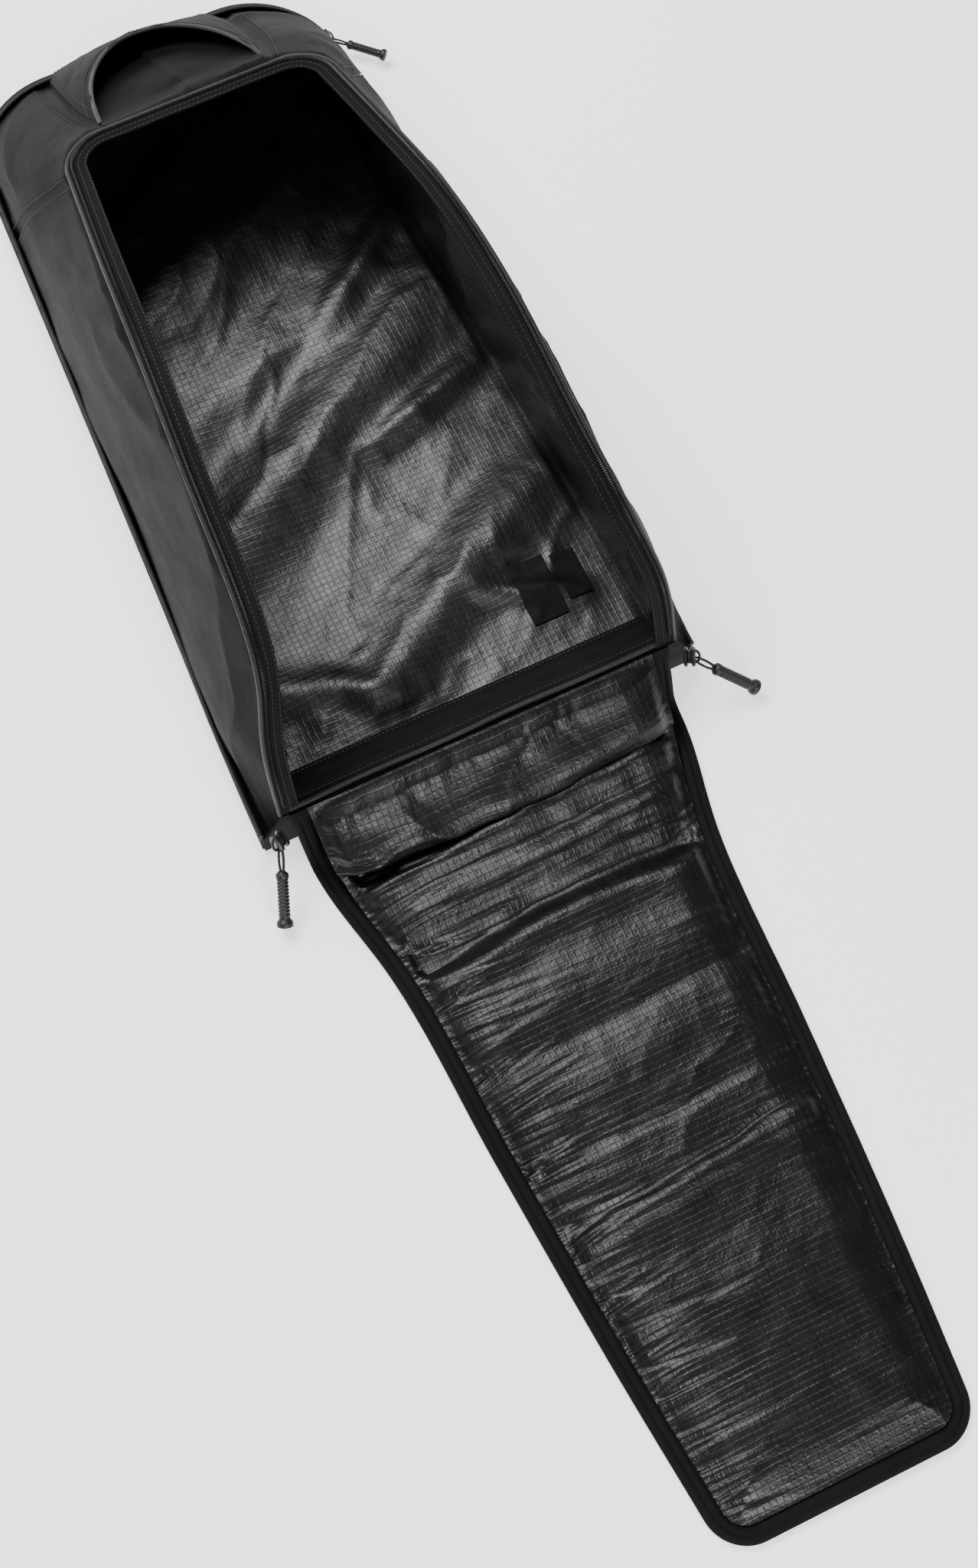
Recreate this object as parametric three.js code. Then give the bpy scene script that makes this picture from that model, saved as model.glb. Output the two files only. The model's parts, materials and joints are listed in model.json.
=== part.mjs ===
// A padded ski boot bag lying on its back, with its front flap unzipped and folded out flat.
// Millimetres, +Z up. The origin is the centre of the face the bag lies on, and +Y points
// to the end with the grab handle. The flap is drawn lying open towards -Y.
import * as THREE from 'three';

// ---------------------------------------------------------------- driving dimensions
const BAG_LENGTH = 600;
const FOOT = -BAG_LENGTH / 2;
const HEAD = BAG_LENGTH / 2;
const BACK_HALF_WIDTH_FOOT = 156;
const BACK_HALF_WIDTH_HEAD = 130;
const BACK_CORNER_RADIUS = 62;
const BACK_FOOT_CORNER_RADIUS = 12;
const REAR_BAND_TOP = 21;
const WALL_START = REAR_BAND_TOP + 2;

const HINGE_HEIGHT = 52;
const PANEL_RUNS = [52, 88, 200, 218];        // sill, base, front and top run of the opening's rim
const CLOSED_ANGLES = [77, 66, 16, -20];      // slope of each run, in degrees above +Y
const BEND_REACH = [20, 34, 70];              // how far each soft bend reaches along its two runs
const RIM_CORNER_RADIUS = 30;
const HALF_WIDTH_STOPS = [[0, 140], [0.12, 137], [0.25, 123], [0.5, 114], [0.75, 104], [1, 91]];

const GAP = 0.3;
const LAYER_GAP = 0.5;                        // between the wall's shell, foam and liner
const SHELL = 1.6;
const FOAM = 4;
const LINER = 1;
const SIDE_BULGE = 7;
const BULGE_FADE = 1 / 6;                     // the bulge dies out over this share of a side at the foot

const TAPE_WIDTH = 12;
const TAPE = 1;
const COIL_WIDTH = 3;
const COIL = 2.2;

const FLAP_LIFT = 2.4;                        // clearance between the rim and the closed flap
const FLAP_INSET = 4;
const FLAP_BORDER = 12;
const FLAP_SHELL = 1.2;
const FLAP_PADDING = 3.8;
const FLAP_LINER = 0.9;
const FLAP_THICKNESS = FLAP_SHELL + FLAP_PADDING + FLAP_LINER + 2 * GAP;
const FOLD_GAP = 0.5;
const HINGE_CLEARANCE = 3;
const HINGE_TAPER = 15;                       // the flap thins to nothing over this at its hinge

const SLIDER_SIZE = new THREE.Vector3(11, 8, 16);
const PULL_LENGTH = 38;
const PULL_RADIUS = 4;
const PULL_FLARE_RADIUS = 5.8;
const LOOP_RADIUS = 1.4;
const LOOP_LENGTH = 12;
const EYE_OFFSET = 2.2;                       // from the slider's nose to where its pull swings

const MATERIALS = {
  shell: { color: 0x2b2b2c, roughness: 0.72, metalness: 0 },
  band: { color: 0x121212, roughness: 0.8, metalness: 0 },
  liner: { color: 0x0d0d0e, roughness: 0.3, metalness: 0 },
  foam: { color: 0x3a3a3a, roughness: 0.95, metalness: 0 },
  zip: { color: 0x0a0a0a, roughness: 0.45, metalness: 0 },
  slider: { color: 0x141414, roughness: 0.35, metalness: 0.6 },
  pull: { color: 0x161616, roughness: 0.6, metalness: 0 },
  label: { color: 0x101010, roughness: 0.55, metalness: 0 },
};

const bag = new THREE.Group();
const { lerp, degToRad } = THREE.MathUtils;

function add(name, material, geometry) {
  const mesh = new THREE.Mesh(geometry, new THREE.MeshStandardMaterial(MATERIALS[material]));
  mesh.name = name;
  bag.add(mesh);
  return mesh;
}

// ---------------------------------------------------------------- closed slabs
function signedVolume(positions, faces) {
  const corner = (k) => new THREE.Vector3().fromArray(positions, faces[k] * 3);
  let volume = 0;
  for (let k = 0; k < faces.length; k += 3) {
    volume += corner(k).dot(corner(k + 1).cross(corner(k + 2)));
  }
  return volume;
}

// A closed sheet: point(u, v, side) gives its outer face for side 0 and its inner face for side 1.
function slab(alongU, alongV, point) {
  const positions = [];
  const faces = [];
  const at = (i, j, side) => (side * (alongU + 1) + i) * (alongV + 1) + j;
  const quad = (a, b, c, d) => faces.push(a, b, c, a, c, d);
  for (const side of [0, 1]) {
    for (let i = 0; i <= alongU; i += 1) {
      for (let j = 0; j <= alongV; j += 1) {
        positions.push(...point(i / alongU, j / alongV, side));
      }
    }
  }
  for (let i = 0; i < alongU; i += 1) {
    for (let j = 0; j < alongV; j += 1) {
      quad(at(i, j, 0), at(i + 1, j, 0), at(i + 1, j + 1, 0), at(i, j + 1, 0));
      quad(at(i, j, 1), at(i, j + 1, 1), at(i + 1, j + 1, 1), at(i + 1, j, 1));
    }
    quad(at(i, 0, 1), at(i + 1, 0, 1), at(i + 1, 0, 0), at(i, 0, 0));
    quad(at(i, alongV, 0), at(i + 1, alongV, 0), at(i + 1, alongV, 1), at(i, alongV, 1));
  }
  for (let j = 0; j < alongV; j += 1) {
    quad(at(0, j, 0), at(0, j + 1, 0), at(0, j + 1, 1), at(0, j, 1));
    quad(at(alongU, j, 1), at(alongU, j + 1, 1), at(alongU, j + 1, 0), at(alongU, j, 0));
  }
  if (signedVolume(positions, faces) < 0) {
    faces.reverse();
  }
  const geometry = new THREE.BufferGeometry();
  geometry.setAttribute('position', new THREE.Float32BufferAttribute(positions, 3));
  geometry.setIndex(faces);
  return geometry;
}

// ---------------------------------------------------------------- the opening's rim
function rimCorners() {
  const corners = [new THREE.Vector2(FOOT, HINGE_HEIGHT)];
  PANEL_RUNS.forEach((run, i) => {
    const angle = degToRad(CLOSED_ANGLES[i]);
    const step = new THREE.Vector2(Math.cos(angle), Math.sin(angle)).multiplyScalar(run);
    corners.push(corners[i].clone().add(step));
  });
  return corners;
}

// The rim seen from the side: straight runs joined by soft bends.
function rimProfile() {
  const corners = rimCorners();
  const path = new THREE.Path().moveTo(corners[0].x, corners[0].y);
  for (let i = 1; i < corners.length - 1; i += 1) {
    const before = corners[i - 1].clone().sub(corners[i]).setLength(BEND_REACH[i - 1]).add(corners[i]);
    const after = corners[i + 1].clone().sub(corners[i]).setLength(BEND_REACH[i - 1]).add(corners[i]);
    path.lineTo(before.x, before.y);
    path.quadraticCurveTo(corners[i].x, corners[i].y, after.x, after.y);
  }
  const last = corners[corners.length - 1];
  path.lineTo(last.x, last.y);
  return path;
}

const PROFILE = rimProfile();
const RIM_LENGTH = PROFILE.getLength();

// Half width of the opening and of the flap, t = 0 at the hinge and 1 at the far end.
function halfWidth(t) {
  const stops = HALF_WIDTH_STOPS;
  const clamped = Math.min(Math.max(t, 0), 1);
  const k = Math.min(stops.findLastIndex(([at]) => at <= clamped), stops.length - 2);
  const slope = (a, b) => (stops[b][1] - stops[a][1]) / (stops[b][0] - stops[a][0]);
  const startSlope = k > 0 ? slope(k - 1, k + 1) : slope(k, k + 1);
  const endSlope = k + 2 < stops.length ? slope(k, k + 2) : slope(k, k + 1);
  const span = stops[k + 1][0] - stops[k][0];
  const f = (clamped - stops[k][0]) / span;
  const rise = f * f * (3 - 2 * f);
  const bendIn = f * (1 - f) * (1 - f) * span * startSlope;
  const bendOut = f * f * (f - 1) * span * endSlope;
  return lerp(stops[k][1], stops[k + 1][1], rise) + bendIn + bendOut;
}

// Every layer of the wall and rim is sampled at the same stations, closest where the rim bends.
const STATIONS = (() => {
  const half = [];
  for (let q = 0.05; q < 0.42; q += 0.05) {
    half.push(q);
  }
  half.push(0.5, 0.6, 0.7, 0.8, 0.9, 1, 1.25, 1.5, 1.75, 2, 2.25);
  return [...half, 2.5, ...half.map((q) => 5 - q).reverse()];
})();

// A slab whose u runs through the stations between from(v) and to(v).
const STATION_MARGIN = 0.004;                 // a station closer than this to an end is left out
function stationSlab(from, to, alongV, pointAt) {
  const ends = [from(0), from(1), to(0), to(1)];
  const rising = ends[0] < ends[2];
  const low = rising ? Math.max(ends[0], ends[1]) : Math.max(ends[2], ends[3]);
  const high = rising ? Math.min(ends[2], ends[3]) : Math.min(ends[0], ends[1]);
  const inner = STATIONS.filter((q) => q > low + STATION_MARGIN && q < high - STATION_MARGIN);
  const ordered = rising ? inner : inner.reverse();
  const steps = ordered.length + 1;
  return slab(steps, alongV, (u, v, side) => {
    const i = Math.round(u * steps);
    const q = i === 0 ? from(v) : i === steps ? to(v) : ordered[i - 1];
    return pointAt(q, v, side);
  });
}

// Place along the rim: q runs 0-1 up the left side, 1-2 round the left corner, 2-3 across the
// head, 3-4 round the right corner and 4-5 down the right side. Gives x and the arc length s.
function rimPlace(q, inset, length = RIM_LENGTH) {
  if (q > 2.5) {
    const mirrored = rimPlace(5 - q, inset, length);
    return { x: -mirrored.x, s: mirrored.s };
  }
  const straight = length - RIM_CORNER_RADIUS;
  const radius = RIM_CORNER_RADIUS - inset;
  if (q <= 1) {
    const s = q * straight;
    return { x: inset - halfWidth(s / length), s };
  }
  if (q <= 2) {
    const angle = (q - 1) * Math.PI / 2;
    const s = straight + radius * Math.sin(angle);
    return { x: RIM_CORNER_RADIUS - halfWidth(s / length) - radius * Math.cos(angle), s };
  }
  const reach = halfWidth(1) - RIM_CORNER_RADIUS;
  return { x: lerp(-reach, reach, q - 2), s: length - inset };
}

// A point over the opening's surface, h above it.
function frontPoint(x, s, h) {
  const t = Math.min(Math.max(s / RIM_LENGTH, 0), 1);
  const at = PROFILE.getPointAt(t);
  const along = PROFILE.getTangentAt(t);
  return new THREE.Vector3(x, at.x - along.y * h, at.y + along.x * h);
}

function rimPoint(q) {
  const { x, s } = rimPlace(q, 0);
  return frontPoint(x, s, 0);
}

function rimStrip(insets, heights, from, to) {
  return stationSlab(() => from, () => to, 1, (q, v, side) => {
    const { x, s } = rimPlace(q, lerp(insets[0], insets[1], v));
    return frontPoint(x, s, heights[side]);
  });
}

// ---------------------------------------------------------------- the back's outline
function backHalfWidth(y) {
  return lerp(BACK_HALF_WIDTH_FOOT, BACK_HALF_WIDTH_HEAD, (y - FOOT) / BAG_LENGTH);
}

function backPoint(q, inset = 0, z = REAR_BAND_TOP) {
  if (q > 2.5) {
    const mirrored = backPoint(5 - q, inset, z);
    return mirrored.setX(-mirrored.x);
  }
  const straightEnd = HEAD - BACK_CORNER_RADIUS;
  const radius = BACK_CORNER_RADIUS - inset;
  if (q <= 1) {
    const y = lerp(FOOT, straightEnd, q);
    return new THREE.Vector3(inset - backHalfWidth(y), y, z);
  }
  if (q <= 2) {
    const angle = (q - 1) * Math.PI / 2;
    const y = straightEnd + radius * Math.sin(angle);
    const x = BACK_CORNER_RADIUS - backHalfWidth(y) - radius * Math.cos(angle);
    return new THREE.Vector3(x, y, z);
  }
  const reach = BACK_HALF_WIDTH_HEAD - BACK_CORNER_RADIUS;
  return new THREE.Vector3(lerp(-reach, reach, q - 2), HEAD - inset, z);
}

const BACK_OUTLINE_STEPS = 28;
function backPlate(inset, bottom, top) {
  const steps = BACK_OUTLINE_STEPS;
  const outline = [];
  for (let i = 0; i <= steps; i += 1) {
    const p = backPoint(lerp(0, 5, i / steps), inset);
    outline.push(new THREE.Vector2(p.x, Math.max(p.y, FOOT + inset)));
  }
  outline.shift();
  outline.pop();
  const foot = FOOT + inset;
  const reach = BACK_HALF_WIDTH_FOOT - inset;
  const round = BACK_FOOT_CORNER_RADIUS;
  outline.push(new THREE.Vector2(reach, foot + round), new THREE.Vector2(reach - round, foot));
  outline.push(new THREE.Vector2(round - reach, foot), new THREE.Vector2(-reach, foot + round));
  const plate = new THREE.ExtrudeGeometry(new THREE.Shape(outline), {
    depth: top - bottom,
    bevelEnabled: false,
  });
  return plate.translate(0, 0, bottom);
}

// ---------------------------------------------------------------- the side and head walls
// The wall between the back's outline (v = 0) and the rim (v = 1), bulged by its padding.
function wallBase(q, v) {
  const low = backPoint(q, 0, WALL_START);
  const high = rimPoint(q);
  const point = low.lerp(high, v);
  const middle = new THREE.Vector3(0, Math.min(point.y, HEAD - BACK_CORNER_RADIUS * 2), point.z);
  const outwards = point.clone().sub(middle).setZ(0).normalize();
  const ends = Math.min(1, q / BULGE_FADE, (5 - q) / BULGE_FADE);
  return point.addScaledVector(outwards, SIDE_BULGE * Math.sin(Math.PI * v) * ends);
}

const NORMAL_STEP = 0.01;                     // half the span used to find the wall's slope
function wallPoint(q, v, depth) {
  const step = NORMAL_STEP;
  const clampedQ = Math.min(Math.max(q, step), 5 - step);
  const clampedV = Math.min(Math.max(v, step), 1 - step);
  const along = wallBase(clampedQ + step, clampedV).sub(wallBase(clampedQ - step, clampedV));
  const up = wallBase(clampedQ, clampedV + step).sub(wallBase(clampedQ, clampedV - step));
  const outwards = up.cross(along).normalize();
  return wallBase(q, v).addScaledVector(outwards, -depth);
}

// One panel of the wall: from and to give q for each v, depths are its two faces.
const WALL_ROWS = 4;
function wallPanel(from, to, depths) {
  return stationSlab(from, to, WALL_ROWS, (q, v, side) => wallPoint(q, v, depths[side]));
}

const SHOULDER_SEAM_LOW = 0.9;                // the slanted seam at the back's outline and at the rim
const SHOULDER_SEAM_HIGH = 0.98;
const SIDE_GAP = 0.001;                       // these gaps and ends are shares of a side, like q
const CORNER_GAP = 0.006;
const PADDING_START = 0.012;
const HEAD_FOAM_INSET = 0.03;
const LINER_JOIN = 1.5;                       // the side and head liners meet round the corner
const shoulderSeam = (v) => lerp(SHOULDER_SEAM_LOW, SHOULDER_SEAM_HIGH, v);
const SHELL_DEPTHS = [0, SHELL];
const FOAM_DEPTHS = [SHELL + LAYER_GAP, SHELL + LAYER_GAP + FOAM];
const LINER_START = FOAM_DEPTHS[1] + 3 * LAYER_GAP;
const LINER_DEPTHS = [LINER_START, LINER_START + LINER];

for (const [name, flip] of [['left', (q) => q], ['right', (q) => 5 - q]]) {
  const panel = (from, to, depths) => wallPanel((v) => flip(from(v)), (v) => flip(to(v)), depths);
  add(`${name}_side_panel`, 'shell', panel(() => 0, (v) => shoulderSeam(v) - SIDE_GAP, SHELL_DEPTHS));
  add(`${name}_shoulder_panel`, 'shell',
    panel((v) => shoulderSeam(v) + SIDE_GAP, () => 2 - CORNER_GAP, SHELL_DEPTHS));
  add(`${name}_foam`, 'foam',
    panel(() => PADDING_START, (v) => shoulderSeam(v) - PADDING_START, FOAM_DEPTHS));
  add(`${name}_liner`, 'liner', panel(() => PADDING_START, () => LINER_JOIN - CORNER_GAP, LINER_DEPTHS));
}
add('handle_panel', 'shell', wallPanel(() => 2, () => 3, SHELL_DEPTHS));
add('head_foam', 'foam', wallPanel(() => 2 + HEAD_FOAM_INSET, () => 3 - HEAD_FOAM_INSET, FOAM_DEPTHS));
add('head_liner', 'liner',
  wallPanel(() => LINER_JOIN + CORNER_GAP, () => 5 - LINER_JOIN - CORNER_GAP, LINER_DEPTHS));

// ---------------------------------------------------------------- the back
const BACK_SHELL = 2;
const BACK_STACK_INSET = 8;
const BACK_FOAM_TOP = 8;
add('back_panel', 'shell', backPlate(0, 0, BACK_SHELL));
add('back_foam', 'foam', backPlate(BACK_STACK_INSET, BACK_SHELL + GAP, BACK_FOAM_TOP));
add('back_liner', 'liner',
  backPlate(BACK_STACK_INSET, BACK_FOAM_TOP + GAP, BACK_FOAM_TOP + GAP + LINER));

// The rear zip runs round both sides and the head, just above the back.
const REAR_COIL_LOW = 9;
const REAR_COIL_HIGH = 13;
const REAR_COIL = 1.5;
function rearStrip(bottom, top, insets) {
  return stationSlab(() => 0, () => 5, 1, (q, v, side) => backPoint(q, insets[side], lerp(bottom, top, v)));
}
add('rear_zip_tape', 'band', rearStrip(BACK_SHELL + GAP, REAR_BAND_TOP, [0, SHELL]));
add('rear_zip_coil', 'zip', rearStrip(REAR_COIL_LOW, REAR_COIL_HIGH, [-GAP - REAR_COIL, -GAP]));

// ---------------------------------------------------------------- the foot wall under the hinge
// A layer across the bag's foot. The outermost one is as wide as the bag and covers the ends of
// its side walls; the layers inside it are narrower.
function footWall(near, far, bottom, top, narrower) {
  return slab(6, 2, (u, v, side) => {
    const z = lerp(bottom, top, v);
    const rise = Math.max(0, (z - REAR_BAND_TOP) / (HINGE_HEIGHT - REAR_BAND_TOP));
    const reach = lerp(BACK_HALF_WIDTH_FOOT, halfWidth(0), rise) - narrower;
    return new THREE.Vector3(lerp(-reach, reach, u), side ? far : near, z);
  });
}
const FOOT_WALL_TOP = HINGE_HEIGHT - 1;
const INNER_WALL_NARROWER = 10;
add('base_panel', 'shell',
  footWall(FOOT - GAP - SHELL, FOOT - GAP, BACK_SHELL + GAP, FOOT_WALL_TOP, 0));
const innerWallBottom = BACK_FOAM_TOP + LINER + 2 * GAP;
add('base_foam', 'foam',
  footWall(FOOT + GAP, FOOT + GAP + FOAM, innerWallBottom, FOOT_WALL_TOP - 1, INNER_WALL_NARROWER));
add('base_liner', 'liner',
  footWall(FOOT + 2 * GAP + FOAM, FOOT + 2 * GAP + FOAM + LINER, innerWallBottom, FOOT_WALL_TOP - 1,
    INNER_WALL_NARROWER));

// The facing inside the hinge, and the piping along it.
const BAND_START = 2.6;
const BAND_DEPTH = 24;
const BAND_DROP = 9;                          // the facing sinks this far towards the inside
const BAND_RISE = 0.6;
const BAND_NARROWER = INNER_WALL_NARROWER + 6;
const WELT_RADIUS = 1.4;
const WELT_NARROWER = 8;
const WELT_SETBACK = 0.8;
add('hinge_band', 'band', slab(4, 1, (u, v, side) => {
  const reach = halfWidth(0) - BAND_NARROWER;
  const y = FOOT + BAND_START + BAND_DEPTH * v;
  const z = FOOT_WALL_TOP + BAND_RISE - BAND_DROP * v * v + (1 - side) * SHELL;
  return new THREE.Vector3(lerp(-reach, reach, u), y, z);
}));
const welt = new THREE.CylinderGeometry(WELT_RADIUS, WELT_RADIUS, 2 * (halfWidth(0) - WELT_NARROWER), 8);
welt.rotateZ(Math.PI / 2);
welt.translate(0, FOOT + WELT_SETBACK, HINGE_HEIGHT + WELT_RADIUS);
add('hinge_welt', 'band', welt);

// ---------------------------------------------------------------- the zip on the rim
const TAPE_LIFT = GAP + 0.2;
const TAPE_HEIGHTS = [TAPE_LIFT + TAPE, TAPE_LIFT];
const TAPE_OVERHANG = 1;                      // the tape and coil reach this far past the rim
const COIL_HEIGHTS = [TAPE_HEIGHTS[0] + GAP + COIL, TAPE_HEIGHTS[0] + GAP];
const ZIP_START = 0.02;
add('zip_tape', 'band', rimStrip([-TAPE_OVERHANG, TAPE_WIDTH], TAPE_HEIGHTS, ZIP_START, 5 - ZIP_START));
add('zip_coil', 'zip',
  rimStrip([-TAPE_OVERHANG, COIL_WIDTH - TAPE_OVERHANG], COIL_HEIGHTS, ZIP_START, 5 - ZIP_START));

// ---------------------------------------------------------------- the grab handle
// Fabric sewn across the head panel. Its free edge is cut as an arch and stands off the panel.
const HANDLE_SEAM = 2.5;
const HANDLE_LIFT = 13;
const HANDLE_THICKNESS = 2.4;
const HANDLE_MIDDLE_WIDTH = 0.34;             // shares of the head panel's height
const HANDLE_END_WIDTH = 0.93;
const HANDLE_ROOT = 0.03;
const HANDLE_END_INSET = 0.03;
const ARCH_POWER = 2.2;                       // how suddenly the arch widens towards its ends
const LIFT_POWER = 0.8;
add('handle', 'shell', slab(14, 3, (u, v, side) => {
  const arch = Math.pow(Math.abs(2 * u - 1), ARCH_POWER);
  const free = lerp(HANDLE_MIDDLE_WIDTH, HANDLE_END_WIDTH, arch);
  const lift = HANDLE_LIFT * Math.pow(Math.sin(Math.PI * u), LIFT_POWER) * Math.sqrt(v);
  const stand = HANDLE_SEAM + lift + (1 - side) * HANDLE_THICKNESS;
  const q = lerp(2 + HANDLE_END_INSET, 3 - HANDLE_END_INSET, u);
  return wallPoint(q, lerp(HANDLE_ROOT, free, v), -stand);
}));

// ---------------------------------------------------------------- labels and pocket inside
const BACK_LINER_TOP = BACK_FOAM_TOP + GAP + LINER;
const POCKET_THICKNESS = 1.4;
const LABEL_THICKNESS = 0.6;
const CARE_LABEL = { width: 26, length: 44, x: 84, y: FOOT + 84 };
const SIZE_LABEL = { width: 18, length: 34, x: 110, y: FOOT + 86 };
function innerLabel(name, { width, length, x, y }) {
  const label = new THREE.BoxGeometry(width, length, LABEL_THICKNESS);
  label.translate(x, y, BACK_LINER_TOP + GAP + LABEL_THICKNESS / 2);
  add(name, 'label', label);
}
innerLabel('care_label', CARE_LABEL);
innerLabel('size_label', SIZE_LABEL);

// A patch on the head's liner, sampled at the wall's own rows so that it lies against it.
const POCKET_SPAN = { from: 2.12, to: 2.88, low: 0.25, high: 0.75 };
const KEY_LOOP_SPAN = { from: 2.93, to: 2.99, low: 0.5, high: 0.75 };
function onHeadLiner({ from, to, low, high }) {
  const near = LINER_DEPTHS[1] + LAYER_GAP;
  const rows = (high - low) * WALL_ROWS;
  return stationSlab(() => from, () => to, rows, (q, v, side) => {
    return wallPoint(q, lerp(low, high, v), near + side * POCKET_THICKNESS);
  });
}
add('inner_pocket', 'liner', onHeadLiner(POCKET_SPAN));
add('key_loop', 'band', onHeadLiner(KEY_LOOP_SPAN));

// ---------------------------------------------------------------- the flap
// Four panels in a row, hinged along their inner face: sill, base, front and top.
const FLAP_NAMES = ['sill', 'base', 'front', 'top'];

function flapRuns() {
  const bend = (i) => Math.tan(degToRad(CLOSED_ANGLES[i] - CLOSED_ANGLES[i + 1]) / 2) * FLAP_LIFT;
  return PANEL_RUNS.map((run, i) => run + (i > 0 ? bend(i - 1) : 0) + (i < 3 ? bend(i) : 0));
}

function flapHinge() {
  const slope = degToRad(CLOSED_ANGLES[0]);
  return new THREE.Vector2(FOOT - Math.sin(slope) * FLAP_LIFT, HINGE_HEIGHT + Math.cos(slope) * FLAP_LIFT);
}

// Where each panel starts and which way it points while the flap lies open on the floor.
function flapPanels() {
  const runs = flapRuns();
  const drop = Math.asin((flapHinge().y - FLAP_THICKNESS) / runs[0]);
  const angles = [Math.PI + drop, Math.PI, Math.PI, Math.PI];
  const panels = [];
  let origin = flapHinge();
  let start = 0;
  runs.forEach((run, i) => {
    const along = new THREE.Vector2(Math.cos(angles[i]), Math.sin(angles[i]));
    const outwards = new THREE.Vector2(-along.y, along.x);
    panels.push({ name: FLAP_NAMES[i], origin, along, outwards, start, run });
    origin = origin.clone().addScaledVector(along, run);
    start += run;
  });
  return panels;
}

const FLAP = flapPanels();
const FLAP_LENGTH = FLAP[3].start + FLAP[3].run;

function flapPoint(panel, x, s, fullDepth) {
  const local = s - panel.start;
  const taper = panel.name === 'sill' ? Math.min(1, local / HINGE_TAPER) : 1;
  const depth = fullDepth * taper;
  return new THREE.Vector3(
    x,
    panel.origin.x + panel.along.x * local + panel.outwards.x * depth,
    panel.origin.y + panel.along.y * local + panel.outwards.y * depth,
  );
}

// Half width of the flap at arc length s, inset from its edge and rounded at the far corners.
function flapHalfWidth(s, inset) {
  const past = s - (FLAP_LENGTH - RIM_CORNER_RADIUS);
  const radius = RIM_CORNER_RADIUS - inset;
  if (past <= 0) {
    return halfWidth(s / FLAP_LENGTH) - inset;
  }
  const reach = Math.sqrt(Math.max(radius * radius - past * past, 0));
  return halfWidth(s / FLAP_LENGTH) - RIM_CORNER_RADIUS + reach;
}

// Where a panel's layers start: clear of the welt at the hinge, half a gap past the other folds.
function panelStart(panel) {
  const root = panel.name === 'sill' ? HINGE_CLEARANCE : FOLD_GAP / 2;
  return panel.start + root;
}

function panelEnd(panel) {
  return panel.start + panel.run - FOLD_GAP / 2;
}

const END_CROWDING = 1.8;                     // rows crowd towards the rounded far end by this power
function flapLayer(panel, inset, depths, alongX, alongS) {
  const from = panelStart(panel);
  const isLast = panel.name === 'top';
  const to = isLast ? FLAP_LENGTH - inset : panelEnd(panel);
  return slab(alongX, alongS, (u, v, side) => {
    const eased = isLast ? 1 - Math.pow(1 - v, END_CROWDING) : v;
    const s = lerp(from, to, eased);
    const reach = flapHalfWidth(s, inset);
    return flapPoint(panel, lerp(-reach, reach, u), s, depths[side]);
  });
}

const FLAP_LINER_DEPTHS = [0, FLAP_LINER];
const FLAP_PADDING_DEPTHS = [FLAP_LINER + GAP, FLAP_LINER + GAP + FLAP_PADDING];
const FLAP_SHELL_DEPTHS = [FLAP_THICKNESS - FLAP_SHELL, FLAP_THICKNESS];
const BORDER_DEPTHS = [0, FLAP_THICKNESS - FLAP_SHELL - GAP];
const CORE_INSET = FLAP_INSET + FLAP_BORDER + GAP;

const PANEL_ROWS = 3;
const TOP_ROWS = 8;                           // the top panel also follows the rounded far end
for (const panel of FLAP) {
  const rows = panel.name === 'top' ? TOP_ROWS : PANEL_ROWS;
  add(`flap_${panel.name}_shell`, 'shell', flapLayer(panel, FLAP_INSET, FLAP_SHELL_DEPTHS, 2, rows));
  add(`flap_${panel.name}_padding`, 'foam', flapLayer(panel, CORE_INSET, FLAP_PADDING_DEPTHS, 2, rows));
  add(`flap_${panel.name}_liner`, 'liner', flapLayer(panel, CORE_INSET, FLAP_LINER_DEPTHS, 2, rows));
}

// The dark border with the flap's half of the zip: two strips a panel, one U round the end.
for (const panel of FLAP.slice(0, 3)) {
  for (const [name, sign] of [['left', -1], ['right', 1]]) {
    add(`flap_${panel.name}_border_${name}`, 'band', slab(3, 1, (u, v, side) => {
      const s = lerp(panelStart(panel), panelEnd(panel), u);
      const x = sign * (flapHalfWidth(s, FLAP_INSET) - FLAP_BORDER * v);
      return flapPoint(panel, x, s, BORDER_DEPTHS[side]);
    }));
  }
}
const topPanel = FLAP[3];
const borderStart = (topPanel.start + FOLD_GAP / 2) / (FLAP_LENGTH - RIM_CORNER_RADIUS);
add('flap_top_border', 'band', slab(24, 1, (u, v, side) => {
  const q = lerp(borderStart, 5 - borderStart, u);
  const { x, s } = rimPlace(q, FLAP_INSET + FLAP_BORDER * v, FLAP_LENGTH);
  return flapPoint(topPanel, x, s, BORDER_DEPTHS[side]);
}));

// ---------------------------------------------------------------- zip sliders and their pulls
// A slider body seen from above: narrow at its tail, widest past its middle, its nose blunt.
const SLIDER_TAIL = 0.6;                      // shares of the slider's half width
const SLIDER_NOSE = 0.7;
const SLIDER_WIDEST_AT = 0.35;                // share of its half length, ahead of its middle
function sliderGeometry() {
  const half = SLIDER_SIZE.clone().multiplyScalar(0.5);
  const outline = new THREE.Shape([
    new THREE.Vector2(-half.x * SLIDER_TAIL, -half.z),
    new THREE.Vector2(half.x * SLIDER_TAIL, -half.z),
    new THREE.Vector2(half.x, half.z * SLIDER_WIDEST_AT),
    new THREE.Vector2(half.x * SLIDER_NOSE, half.z),
    new THREE.Vector2(-half.x * SLIDER_NOSE, half.z),
    new THREE.Vector2(-half.x, half.z * SLIDER_WIDEST_AT),
  ]);
  const body = new THREE.ExtrudeGeometry(outline, { depth: SLIDER_SIZE.y, bevelEnabled: false });
  return body.translate(0, 0, -half.y);
}

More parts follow.
